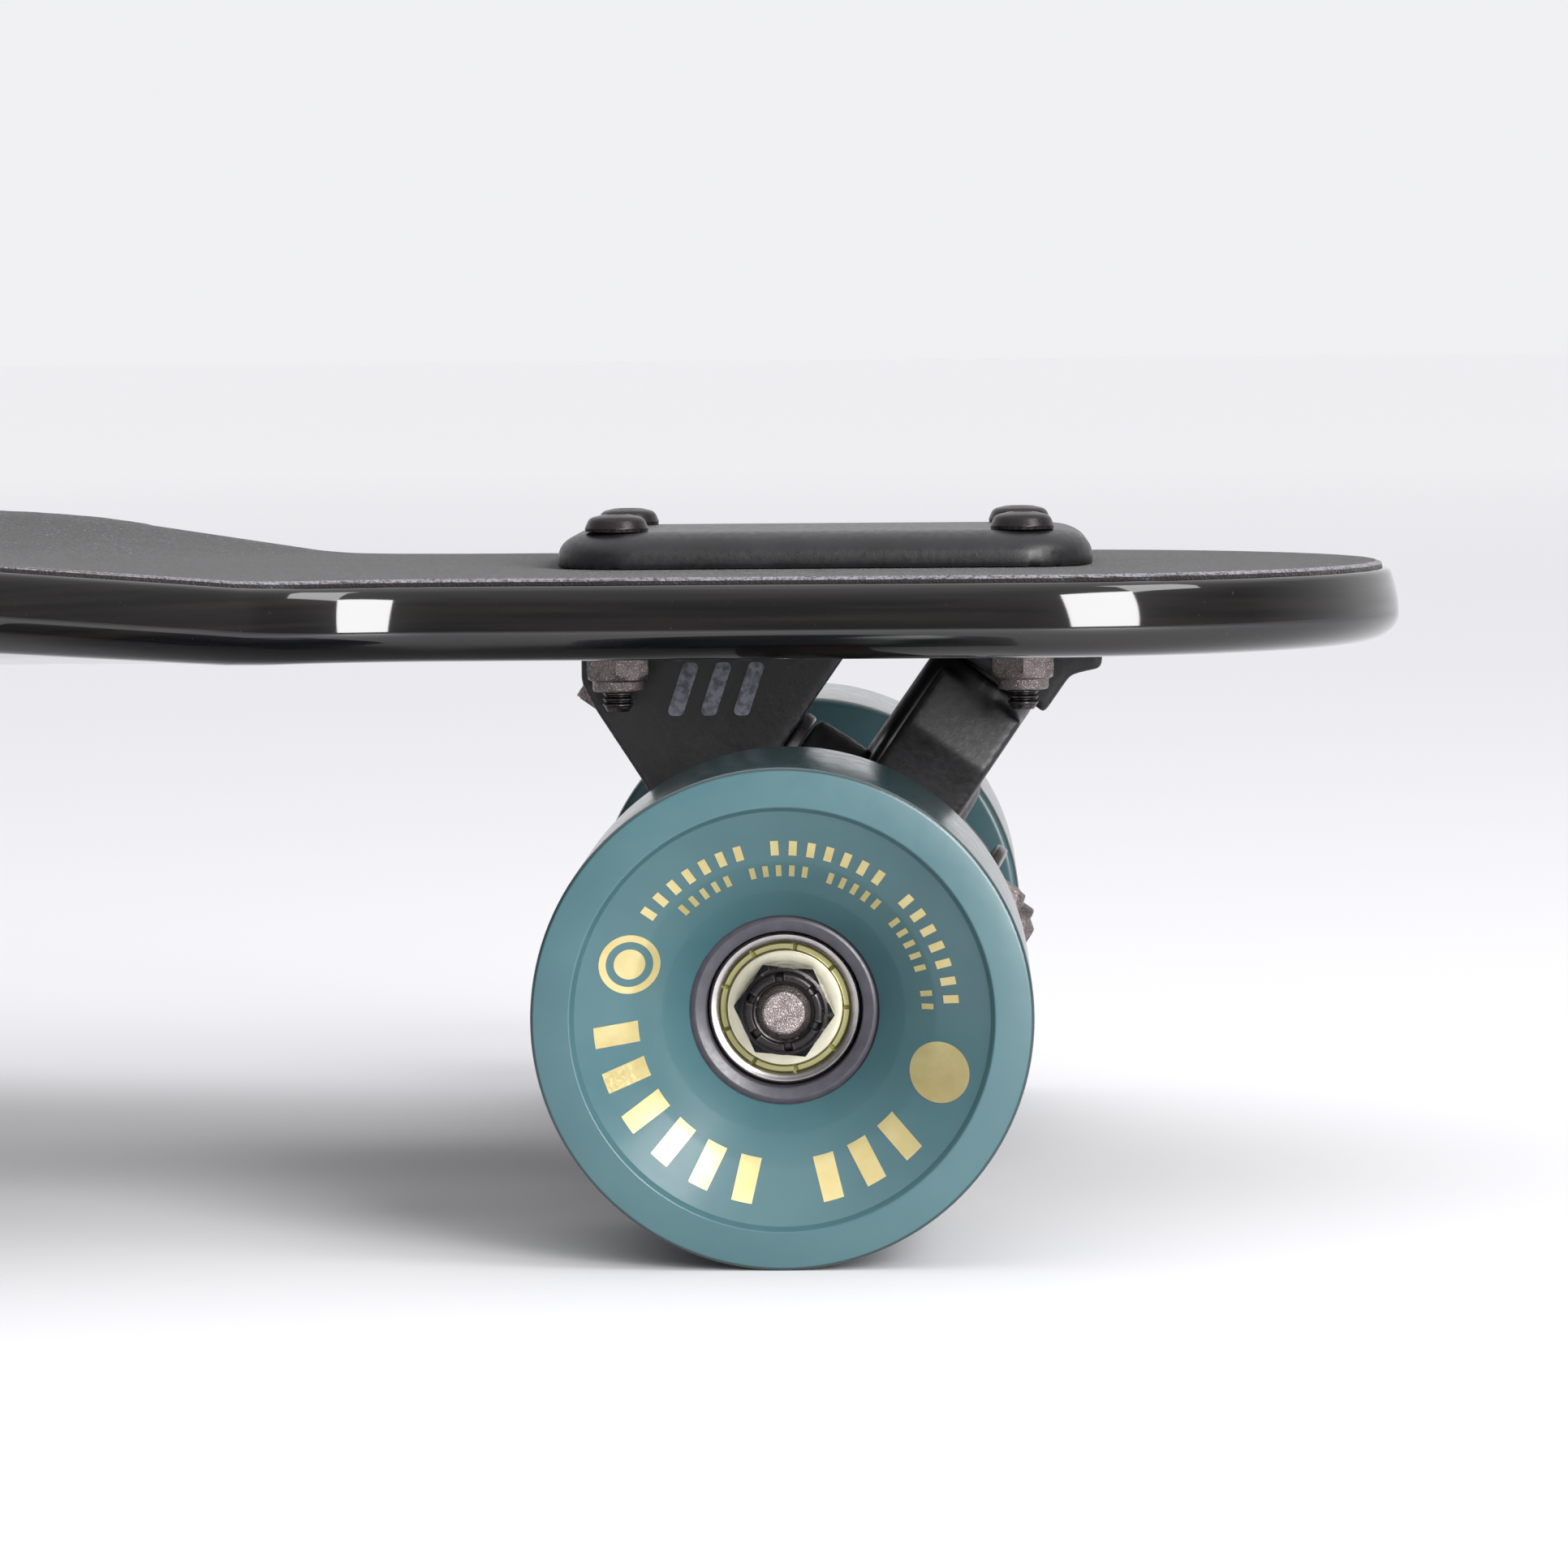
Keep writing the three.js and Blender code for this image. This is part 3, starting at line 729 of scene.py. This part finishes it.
def deck_edge():
    """The deck's edge from its top to its bottom, as (inset, height).

    It has a crisp upper lip, a face that leans back a little, and a round belly.
    """
    lip, face, belly, lean = 1.2, 19.0, 6, math.radians(20)
    face_drop = face * math.sin(lean)
    widest = DECK_TOP - lip * (1 - math.sin(lean)) - face_drop
    points = []
    for k in range(7):
        tilt = math.pi / 2 - (math.pi / 2 - lean) * k / 6
        inset = lip * (math.cos(lean) - math.cos(tilt)) + face * (1 - math.cos(lean))
        points.append((inset, widest + face_drop + lip * (math.sin(tilt) - math.sin(lean))))
    for k in range(1, 11):
        tilt = lean * (1 - k / 10)
        points.append((face * (1 - math.cos(tilt)), widest + face * math.sin(tilt)))
    for k in range(1, 13):
        tilt = math.pi / 2 * k / 12
        height = widest - (widest - DECK_BOTTOM) * math.sin(tilt)
        points.append((belly * (1 - math.cos(tilt)), height))
    return points


# Shares of the board's width at which its flat faces have points, from the middle outward.
SHARES = (0.45, 0.6, 0.7, 0.8, 0.88, 0.93)


def build_deck():
    rings = [edge_ring(0, share, DECK_TOP) for share in SHARES]
    rings += [edge_ring(inset, 1, height) for inset, height in deck_edge()]
    rings += [edge_ring(0, share, DECK_BOTTOM) for share in (0.78, 0.7, 0.6, 0.45)]
    deck = combined(board_skin("deck", rings, DECK_LACQUER), "DIFFERENCE", openings(), crease=50)
    stamp("deck_board", deck, Matrix.Identity(4), "board", "deck_lacquer", "deck")


def build_griptape():
    top, low = GRIP_TOP, DECK_TOP + 0.02
    rings = [edge_ring(0, share, top) for share in SHARES]
    rim = ((3.6, top, 0.4), (2.9, top - 0.3, 0.5), (2.7, top - 0.5, 0.4), (2.65, low, 0.3))
    rings += [edge_ring(inset, 1, height, ragged) for inset, height, ragged in rim]
    rings += [edge_ring(0, share, low) for share in reversed(SHARES)]
    sheet = combined(board_skin("griptape", rings, GRIPTAPE), "DIFFERENCE", openings(), crease=50)
    stamp("griptape_sheet", sheet, Matrix.Identity(4), "board", "griptape", "griptape")


# -------- baseplate
def tower_outline():
    """The tower's side view; it ends in the slanted seat of the board-side bushing."""
    return [
        (-33.9, FLANGE_BOTTOM + 1), (-33.9, 43), (-31.6, 38.5), (-24.6, 27.7), (-18.4, 16.2),
        side_point(4.6, SEAT_AT), side_point(46, SEAT_AT), (12, 50.4), (12, FLANGE_BOTTOM + 1),
    ]


def housing_outline():
    """The side view of the housing that holds the pivot cup."""
    return [
        (10, FLANGE_BOTTOM + 1), (10, 50.4), side_point(53.2, -10.6), side_point(53.2, 10.6),
        side_point(60.5, 10.6), (48.4, 44.6), (48.4, DECK_BOTTOM - 0.1), (44.3, DECK_BOTTOM - 0.1),
        (44.3, FLANGE_BOTTOM + 1),
    ]


def flange_layers():
    """The flange's outline at each height: its ends and sides round down to the griptape."""
    steps, run, drop, corner = 8, 6, 3.8, 12
    start, end = FLANGE
    layers = []
    for k in range(steps + 1):
        angle = math.radians(90 * k / steps)
        inset = run * (1 - math.cos(angle))
        z = FLANGE_TOP - drop * (1 - math.sin(angle))
        outline = rounded_box(start + inset, end - inset, FLANGE_HALF - inset, corner - inset, 10)
        layers.append((outline, z))
    return [(layers[0][0], FLANGE_BOTTOM)] + layers


def baseplate_mesh():
    flange = stack("baseplate", flange_layers(), TRUCK_PAINT)
    tower = side_plate(tower_outline(), TOWER_HALF)
    housing = side_plate(housing_outline(), HOUSING_HALF)
    plate = cast(combined(flange, "UNION", [tower, housing]))
    cup = moved(rod(8.6, 50, 63.8), STEERING)
    pin = moved(rod(KINGPIN_BORE, -54, -15), ALONG_KINGPIN)
    pocket = moved(rod(9, -75, -45.7), ALONG_KINGPIN)
    tools = [cup, pin, pocket]
    for _, x, y in bolt_places():
        tools.append(moved(rod(BOLT_HOLE, 40, FLANGE_TOP + 5, segments=32), shift(x, y, 0)))
    return combined(plate, "DIFFERENCE", tools, crease=40)


def emblem_mesh(side):
    """Three plain slanted bars, raised on one side of the tower."""
    parts = []
    for i in range(3):
        x = -20.5 + 5.2 * i
        corners = [(x, 37.6, 0.8), (x + 2.6, 37.6, 0.8), (x + 5.4, 46, 0.8), (x + 2.8, 46, 0.8)]
        if side == "left":
            corners = [(along, -up, fillet) for along, up, fillet in reversed(corners)]
        bar = prism("bar", rounded(corners), -0.5, 0.25, EMBLEM_PAINT)
        points = [vertex.co / MM for vertex in bar.vertices]
        parts.append((points, [face.vertices for face in bar.polygons]))
    mesh = mesh_of("emblem", *joined(parts), EMBLEM_PAINT)
    facing = 1 if side == "right" else -1
    return moved(mesh, shift(0, -TOWER_HALF * facing, 0) @ Matrix.Rotation(facing * math.pi / 2, 4, "X"))


# -------- hanger
def hanger_mesh():
    """The cast hanger: arms in the plane of the axle and the steering axis, a collar and a grooved nose."""
    half = HANGER_HALF
    arm = half - 3
    side = [(arm, -7), (arm, 7), (52, 10), (19, 27), (11.5, 40), (9, 50)]
    outline = [(y, up) for y, up in side] + [(-y, up) for y, up in reversed(side)]
    plan = prism("hanger", outline, -6.9, 8.7, TRUCK_PAINT)
    # The outline's x is across the board and its y is up the steering axis; its depth is along the kingpin.
    plan.transform(Matrix(((0, 0, 1, 0), (1, 0, 0, 0), (0, 1, 0, 0), (0, 0, 0, 1))))
    sleeve_profile = [(0, -half), (8, -half), (9.6, -60), (9.6, 60), (8, half), (0, half)]
    sleeve = moved(turned("sleeve", sleeve_profile, TRUCK_PAINT, 48), ALONG_AXLE)
    collar = moved(rod(17, -8.1, 9.9), ACROSS_STEERING)
    nose = rod(9, 30, NOSE_SHOULDER_UP)
    body = combined(plan, "UNION", [sleeve, collar, nose])
    grooves = []
    path = [(0.2, 30), (4.8, 30), (3.0, 44.3), (1.0, 56), (-3.0, 56), (-2.0, 44.3)]
    for turn in (1, -1):
        groove = prism("groove", path[::-1], 6.2, 20, TRUCK_PAINT)
        # x of the path is along the kingpin, y is up the steering axis, its depth is across the board.
        facing = Matrix(((1, 0, 0, 0), (0, 0, turn, 0), (0, 1, 0, 0), (0, 0, 0, 1)))
        grooves.append(moved(groove, facing))
    body = cast(combined(body, "DIFFERENCE", grooves))
    tip = [(6.5, 4), (5.6, 2), (4.2, 0.7), (2.2, 0.1), (0, 0)]
    pin_profile = [(0, 48), (6.5, 48)] + [(radius, NOSE_TIP_UP - drop) for radius, drop in tip]
    body = combined(body, "UNION", [turned("pin", pin_profile, TRUCK_PAINT, 48)])
    seats = [rod(12.3, -20, -3), rod(12.3, 3.3, 20), rod(8, -5, 5)]
    tools = [moved(seat, ACROSS_STEERING) for seat in seats] + [moved(rod(4.3, -90, 90), ALONG_AXLE)]
    return moved(combined(body, "DIFFERENCE", tools, crease=40), STEERING)


# -------- kingpin, bushings and cup
def kingpin_mesh():
    head = [(0, -52), (7.4, -52), (8.2, -51.2), (8.2, -46), (4.76, -46)]
    shank = [(4.76, 16)] + thread(4.76, 16.2, 27.8, 1.4, 0.5) + [(4.3, 28.2), (3.4, 29.4), (0, 29.4)]
    return turned("kingpin", head + shank, GRAINY_STEEL, 72, across=14.3)


def lock_nut_meshes(name, across, low, height, bore, downward=False):
    """A hexagonal lock nut with a round collar, and its nylon insert."""
    flat = across / 2
    corner = flat / math.cos(math.pi / 6)
    collar = flat * 0.84
    nut = [
        (bore, 0, 0.2), (flat + 0.1, 0, 0.2), (corner + 0.05, 0.1 * height, 0.1),
        (corner + 0.05, 0.56 * height, 0.1), (flat - 0.1, 0.7 * height, 0.2),
        (collar, 0.74 * height, 0.25), (collar, height, 0.5), (collar - 1.3, height, 0.2),
        (collar - 1.4, 0.8 * height, 0.1), (bore, 0.8 * height, 0.05),
    ]
    insert = [
        (bore - 0.05, 0.75 * height, 0), (collar - 1.2, 0.75 * height, 0),
        (collar - 1.3, 0.93 * height, 0.2), (bore, 0.95 * height, 0.3),
    ]

    def placed(corners, steps):
        points = [(radius, low + (height - z if downward else z)) for radius, z in rounded(corners, steps)]
        return points[::-1] if downward else points

    body = turned(name, placed(nut, 4), GRAINY_STEEL, 72, across=across)
    return body, turned(f"{name}_insert", placed(insert, 3), NYLON, 48)


def cup_washer_mesh(low):
    return ring_mesh("cup_washer", KINGPIN_BORE, 11.5, low, low + 2, fillets=(0.3, 0.6), steps=4)


def bushing_mesh(low, high, low_radius, high_radius):
    """A bushing with a soft barrel and a small bead at each rim."""
    middle = (low + high) / 2
    corners = [
        (KINGPIN_BORE, low, 0.4), (low_radius - 0.3, low, 1.0), (low_radius, middle - 1.5, 3.0),
        ((low_radius + high_radius) / 2, middle + 2.5, 3.0), (high_radius - 0.3, high, 1.0),
        (KINGPIN_BORE, high, 0.4),
    ]
    return turned("bushing", rounded(corners, 6), BUSHING_URETHANE, 72)


def pivot_cup_mesh():
    """The urethane cup round the hanger's nose; its floor has a small hole."""
    end, hole = 63.5, 0.4
    tip = NOSE_TIP_UP + 0.3
    profile = [(6.8, 53.4), (8.5, 53.4), (8.5, end), (hole, end), (hole, tip)]
    profile += [(4.6, tip - 1.2), (6.8, tip - 4)]
    return moved(turned("pivot_cup", profile, BUSHING_URETHANE, 48), STEERING)


# -------- bolts
def bolt_mesh():
    """A pan-head bolt with a hexagonal socket and a threaded end."""
    top, tip, radius = FLANGE_TOP + 0.02, 38.7, 2.4
    crown = top + 2.65
    head = [(4.9, top, 0), (5.0, top + 0.5, 0.2), (4.3, crown - 0.5, 1.4), (2.2, crown, 1.2), (0, crown, 0)]
    shank = [(0, tip), (1.7, tip)] + thread(radius, tip + 0.6, 48, 0.8, 0.3) + [(radius, top)]
    bolt = turned("bolt", shank + rounded(head), BLACK_OXIDE, 48)
    hollow = [(0, top + 1.1), (1.75, top + 1.3), (1.75, top + 4), (0, top + 4)]
    socket = turned("socket", hollow, BLACK_OXIDE, 48, across=3.0)
    return combined(bolt, "DIFFERENCE", [socket])


# -------- wheel
def outward(y):
    """A place across the board, measured from the wheel's middle."""
    return y - WHEEL_MIDDLE


# The dished face, as (radius, place across the board), from its rim to the hub.
DISH = [(29.75, 123.4), (26.5, 120.9), (22, 117.5), (17.5, 113.3), (13.75, 109.4)]


def dish_height(radius):
    """Place of the wheel's dished face at a radius."""
    for (outer, high), (inner, low) in zip(DISH, DISH[1:]):
        if radius >= inner:
            return low + (high - low) * (radius - inner) / (outer - inner)
    return DISH[-1][1]


def tyre_mesh():
    corners = [
        (13.75, 80.6, 0.3), (20, 76, 3), (29.6, 70.6, 3), (WHEEL_RADIUS, 70, 1.4),
        (WHEEL_RADIUS, 124.1, 0.75), (30.4, 124.7, 0.3),
    ]
    corners += [(*place, fillet) for place, fillet in zip(DISH, (0.3, 8, 12, 8, 0.3))]
    profile = [(radius, outward(y)) for radius, y in rounded(corners, 6)]
    return turned("tyre", profile, URETHANE, 144, crease=50)


def on_circle(radius, degrees):
    angle = math.radians(degrees)
    return radius * math.cos(angle), radius * math.sin(angle)


def bar_rows(inner, outer, angle, width):
    """Rows of places for a plain bar of even width that stands along a radius."""
    steps = 6
    rows = []
    for i in range(steps + 1):
        radius = inner + (outer - inner) * i / steps
        spread = math.degrees(width / radius)
        rows.append([on_circle(radius, angle + (j / steps - 0.5) * spread) for j in range(steps + 1)])
    return rows


def ring_rows(radius, angle, outer, inner=0.0):
    """Rows of places for a ring, or a disc, about a point of the dish."""
    steps, around = 4, 48
    x, y = on_circle(radius, angle)
    rows = []
    for i in range(steps + 1):
        reached = inner + (outer - inner) * i / steps
        spots = [on_circle(reached, 360 * j / around) for j in range(around)]
        rows.append([(x + across, y + up) for across, up in spots + spots[:1]])
    return rows


def raised_mark(rows):
    """A thin closed mark on the dish over rows of places; places that meet become one point."""
    sink, lift = -0.15, 0.07
    index = {}
    for spot in (spot for row in rows for spot in row):
        index.setdefault((round(spot[0], 5), round(spot[1], 5)), len(index))
    points = [(x, y, outward(dish_height(math.hypot(x, y))) + z) for z in (lift, sink) for x, y in index]
    tops = []
    for near, far in zip(rows, rows[1:]):
        for j in range(len(near) - 1):
            quad = (near[j], far[j], far[j + 1], near[j + 1])
            tops.append(list(dict.fromkeys(index[round(x, 5), round(y, 5)] for x, y in quad)))
    below = len(index)
    faces = tops + [[below + k for k in reversed(face)] for face in tops]
    edges = [(face[k - 1], face[k]) for face in tops for k in range(len(face))]
    known = set(edges)
    rim = [(start, end) for start, end in edges if (end, start) not in known]
    faces += [[end, start, below + start, below + end] for start, end in rim]
    return points, faces


def marks():
    """The wheel's print, as plain bars and rings: two rows over the top, one of large bars below."""
    made = [bar_rows(23.1, 25.3, 142 - i * 6.2, 1.15) for i in range(24) if i % 8 != 7]
    made += [bar_rows(19.9, 21.6, 133 - i * 5.2, 0.8) for i in range(26) if i % 6 != 5]
    made += [bar_rows(20.9, 27.1, 186 + i * 14.2, 3.0) for i in range(10) if i != 6]
    return made + [ring_rows(23.2, 161, 4.3, 3.3), ring_rows(23.2, 161, 2.2), ring_rows(23.8, -20, 4.3)]


def joined(parts):
    """The points and faces of several (points, faces) as one."""
    points = []
    faces = []
    for part_points, part_faces in parts:
        start = len(points)
        points += part_points
        faces += [[start + k for k in face] for face in part_faces]
    return points, faces


def marks_mesh():
    return mesh_of("wheel_marks", *joined(raised_mark(rows) for rows in marks()), PRINT_GOLD, 30)


def core_mesh():
    """The hub that the urethane is poured round: two bearing seats with a thicker wall between them."""
    corners = [
        (11.35, 80.6, 0.25), (13.9, 80.6, 0.3), (13.9, 108.5, 0.35), (12.9, 108.9, 0.3),
        (11.35, 108.3, 0.25), (11.1, 98.9, 0), (8.6, 98.9, 0.2), (8.6, 89.3, 0.2), (11.1, 89.3, 0),
    ]
    profile = [(radius, outward(y)) for radius, y in rounded(corners, 4)]
    return turned("core", profile, CORE_PLASTIC, 96)


def mirrored(corners):
    """Corners on a bearing's outer side, followed by the same on its inner side."""
    return corners + [(radius, -BEARING_WIDTH - z, fillet) for radius, z, fillet in reversed(corners)]


def bearing_meshes():
    """A 608 ball bearing's races and its shield with the snap ring, about z = 0 at the outer face."""
    race = [(9.7, -1.2, 0), (9.7, -0.25, 0.1), (10.7, 0, 0.15), (11, -0.35, 0.1)]
    races = turned("races", rounded(mirrored(race), 3)[::-1], RACE_STEEL, 96)
    inner = ring_mesh("inner_race", 4.02, 5.9, -BEARING_WIDTH, 0, RACE_STEEL, (0.3, 0.2))

    def notched(angle, radius, z):
        if math.cos(angle * 9) > 0.985 and radius > 8.6:
            return radius, z - math.copysign(0.3, z + BEARING_WIDTH / 2)
        return radius, z

    side = [(6.0, -0.75, 0.1), (6.4, -0.5, 0.1), (8.3, -0.5, 0.15)]
    side += [(8.6, -0.85, 0.1), (9.3, -0.85, 0.1), (9.75, -0.45, 0.1)]
    shield = turned("shield", rounded(mirrored(side), 3)[::-1], SHIELD_STEEL, 180, shape=notched)
    return races, inner, shield


def axle_nut_mesh():
    """A black hexagonal nut whose round collar is crimped in six places."""
    low, high = 107.4, 113.5

    def crimped(angle, radius, z):
        near_crimp = math.cos(6 * (angle - math.radians(13))) > 0.8
        if near_crimp and z > outward(high) - 1.6 and radius > 4.6:
            return radius - 0.35, z - 0.25
        return radius, z

    corners = [
        (AXLE_BORE, low, 0.2), (6.6, low, 0.2), (7.35, low + 0.45, 0.1), (7.35, low + 3.3, 0.1),
        (6.3, low + 4.1, 0.2), (5.75, low + 4.3, 0.3), (5.7, high, 0.6), (4.5, high, 0.25),
        (4.4, high - 0.7, 0.1), (AXLE_BORE, high - 0.8, 0.05),
    ]
    profile = [(radius, outward(y)) for radius, y in rounded(corners, 5)]
    return turned("axle_nut", profile, BLACK_OXIDE, 144, across=12.7, phase=24.5, shape=crimped)


def axle_mesh():
    """The axle from end to end, threaded where its nuts go."""
    radius, threads_from = 4, AXLE_END - 10.5
    tip = [(3.6, AXLE_END - 0.9), (3.05, AXLE_END - 0.12), (2.8, AXLE_END), (0, AXLE_END)]
    outer = thread(radius, threads_from + 0.2, AXLE_END - 1.2, 1.0, 0.4) + tip
    middle = [(radius, -threads_from), (radius, threads_from)]
    profile = [(r, -y) for r, y in reversed(outer)] + middle + outer
    return moved(turned("axle", profile, GRAINY_STEEL, 64, crease=20), ALONG_AXLE)


# -------- assembly
def build_wheels():
    tyre = tyre_mesh()
    print_marks = marks_mesh()
    core = core_mesh()
    races, inner_race, shield = bearing_meshes()
    nut = axle_nut_mesh()
    spacer = ring_mesh("spacer", AXLE_BORE, 5.4, outward(89.05), outward(99.15))
    outer_washer = ring_mesh("outer_washer", AXLE_BORE, 5.6, outward(106.22), outward(107.36))
    inner_washer = ring_mesh("inner_washer", AXLE_BORE, 5.6, outward(81.25), outward(81.96))
    rolls = {"front_right": 0, "front_left": 90, "rear_right": 180, "rear_left": 270}
    for corner, roll in rolls.items():
        end, side = corner.split("_")
        body = f"{corner}_wheel"
        where = wheel_place(end, side, roll)
        stamp(f"{corner}_urethane", tyre, where, body, "urethane", f"{corner}_tyre")
        stamp(f"{corner}_marks", print_marks, where, body, "urethane")
        stamp(f"{corner}_hub", core, where, body, "core_plastic", f"{corner}_core")
        for name, face in (("outer", OUTER_BEARING_FACE), ("inner", INNER_BEARING_FACE)):
            at = where @ shift(0, 0, outward(face))
            bearing = f"{corner}_{name}"
            stamp(f"{bearing}_races", races, at, body, "bearing_steel", f"{bearing}_bearing")
            stamp(f"{bearing}_inner_race", inner_race, at, body, "bearing_steel")
            stamp(f"{bearing}_shield", shield, at, body, "bearing_steel")
        stamp(f"{corner}_bearing_spacer", spacer, where, body, "steel")
        still = wheel_place(end, side)
        holder = f"{end}_hanger_assembly"
        stamp(f"{corner}_outer_speed_washer", outer_washer, still, holder, "steel")
        stamp(f"{corner}_inner_speed_washer", inner_washer, still, holder, "steel")
        stamp(f"{corner}_lock_nut", nut, still, holder, "black_steel", f"{corner}_axle_nut")


def build_bushing(end, pinned, name, low, high, low_radius, high_radius):
    """A bushing between the board, at its end further along the kingpin, and the hanger, baked in place."""
    piece = linked(f"{end}_{name}", bushing_mesh(low, high, low_radius, high_radius))
    piece.matrix_world = pinned
    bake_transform(piece)
    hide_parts(f"{end}_{name}_bushing")


def build_trucks():
    baseplate = baseplate_mesh()
    emblems = {side: emblem_mesh(side) for side in SIDES}
    hanger = hanger_mesh()
    axle = axle_mesh()
    kingpin = kingpin_mesh()
    kingpin_nut, kingpin_insert = lock_nut_meshes("kingpin_nut", 14.3, 19.2, 8.6, 4.8)
    bolt = bolt_mesh()
    lock_nut, lock_insert = lock_nut_meshes("bolt_nut", 9.5, 41.8, 6.4, 2.45, downward=True)
    cup = pivot_cup_mesh()
    upper_washer = cup_washer_mesh(-20.2)
    lower_washer = cup_washer_mesh(16.9)
    for end in ENDS:
        where = truck_place(end)
        pinned = where @ ALONG_KINGPIN
        hung = f"{end}_hanger_assembly"

        def put(name, mesh, at, body, slot, *nodes):
            stamp(f"{end}_{name}", mesh, at, body, slot, *(f"{end}_{node}" for node in nodes))

        put("base", baseplate, where, "board", "truck_paint", "baseplate")
        for side, emblem in emblems.items():
            put(f"{side}_emblem", emblem, where, "board", "truck_paint")
        put("cup", cup, where, "board", "bushing_urethane", "pivot_cup")
        put("kingpin_bolt", kingpin, pinned, "board", "steel", "kingpin")
        put("kingpin_lock_nut", kingpin_nut, pinned, "board", "steel", "kingpin_nut")
        put("kingpin_insert", kingpin_insert, pinned, "board", "steel")
        put("upper_washer", upper_washer, pinned, "board", "steel", "boardside_washer")
        put("lower_washer", lower_washer, pinned, "board", "steel", "roadside_washer")
        build_bushing(end, pinned, "boardside", -17.9, -3.3, 12, 12)
        build_bushing(end, pinned, "roadside", 3.6, 16.6, 12, 10)
        put("cast_hanger", hanger, where, hung, "truck_paint", "hanger")
        put("steel_axle", axle, where, hung, "steel", "axle")
        for name, x, y in bolt_places():
            at = where @ shift(x, y, 0)
            put(f"{name}_bolt", bolt, at, "board", "black_steel", f"bolt_{name}")
            put(f"{name}_nut", lock_nut, at, "board", "steel", f"lock_nut_{name}")
            put(f"{name}_insert", lock_insert, at, "board", "steel")


# -------- stage, lights and camera
def build_stage():
    """A pale floor, painted a darker grey near the board that pales out over several metres: painted shade
    round the board.
    """
    mesh = bpy.data.meshes.new("floor")
    half = 40
    corners = [(-half, -half, 0), (half, -half, 0), (half, half, 0), (-half, half, 0)]
    mesh.from_pydata(corners, [], [(0, 1, 2, 3)])
    floor = linked("floor", mesh)
    finish = Finish("floor")
    # The floor's colour darkens towards the board: painted shade, not a change in the floor itself.
    far = finish.between(finish.radius(), 800, 6000)
    mesh.materials.append(finish.done(finish.mix(far, (0.765, 0.76, 0.775), (0.93, 0.925, 0.935)), 0.8))


def add_softbox(name, at, aim, width, height, power):
    light = bpy.data.lights.new(name, "AREA")
    light.shape = "RECTANGLE"
    light.size = width
    light.size_y = height
    light.energy = power
    holder = linked(name, light)
    holder.location = at
    holder.rotation_euler = (Vector(aim) - Vector(at)).to_track_quat("-Z", "Y").to_euler()


def build_world():
    """A room that is bright overhead and behind the board, and dim in front of it."""
    world = bpy.data.worlds.new("surroundings")
    world.use_nodes = True
    room = Graph(world.node_tree)
    direction = room.node("ShaderNodeTexCoord").outputs["Generated"]
    parts = room.node("ShaderNodeSeparateXYZ", {0: direction}).outputs
    horizon = room.between(parts["Y"], -0.2, 0.6, 0.22, 0.9)
    brightness = room.between(parts["Z"], 0.4, 0.9, horizon, 1.3)
    background = room.tree.nodes["Background"].inputs
    room.wire(background["Color"], (0.97, 0.97, 0.99, 1))
    room.wire(background["Strength"], brightness)
    bpy.context.scene.world = world


def build_lights():
    bpy.context.scene.view_settings.view_transform = "Standard"
    truck = AXLE.x * MM
    target = (truck, -0.1, 0.06)
    add_softbox("key", (truck + 1.17, -0.92, 1.4), target, 0.8, 0.8, 12)
    add_softbox("window", (truck + 0.97, -1.85, 0.68), target, 0.85, 1.15, 51)


def build_camera():
    """A long lens about a metre beside the near front wheel, turned and tipped down a little."""
    low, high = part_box("front_right_tyre")
    camera = linked("camera", bpy.data.cameras.new("camera"))
    camera.data.lens = 161.93
    camera.data.sensor_width = 36
    camera.data.clip_start = 0.02
    along, away, height = 0.0236, 1.0, 0.133
    camera.location = ((low.x + high.x) / 2 + along, low.y - away, height)
    turn, tip, roll = (math.radians(angle) for angle in (1.32, 90 - 3.62, -0.45))
    aim = Matrix.Rotation(turn, 3, "Z") @ Matrix.Rotation(tip, 3, "X") @ Matrix.Rotation(roll, 3, "Z")
    camera.rotation_euler = aim.to_euler()
    bpy.context.scene.camera = camera


build_camera()
build_stage()
build_world()
build_lights()
build_deck()
build_griptape()
build_trucks()
build_wheels()
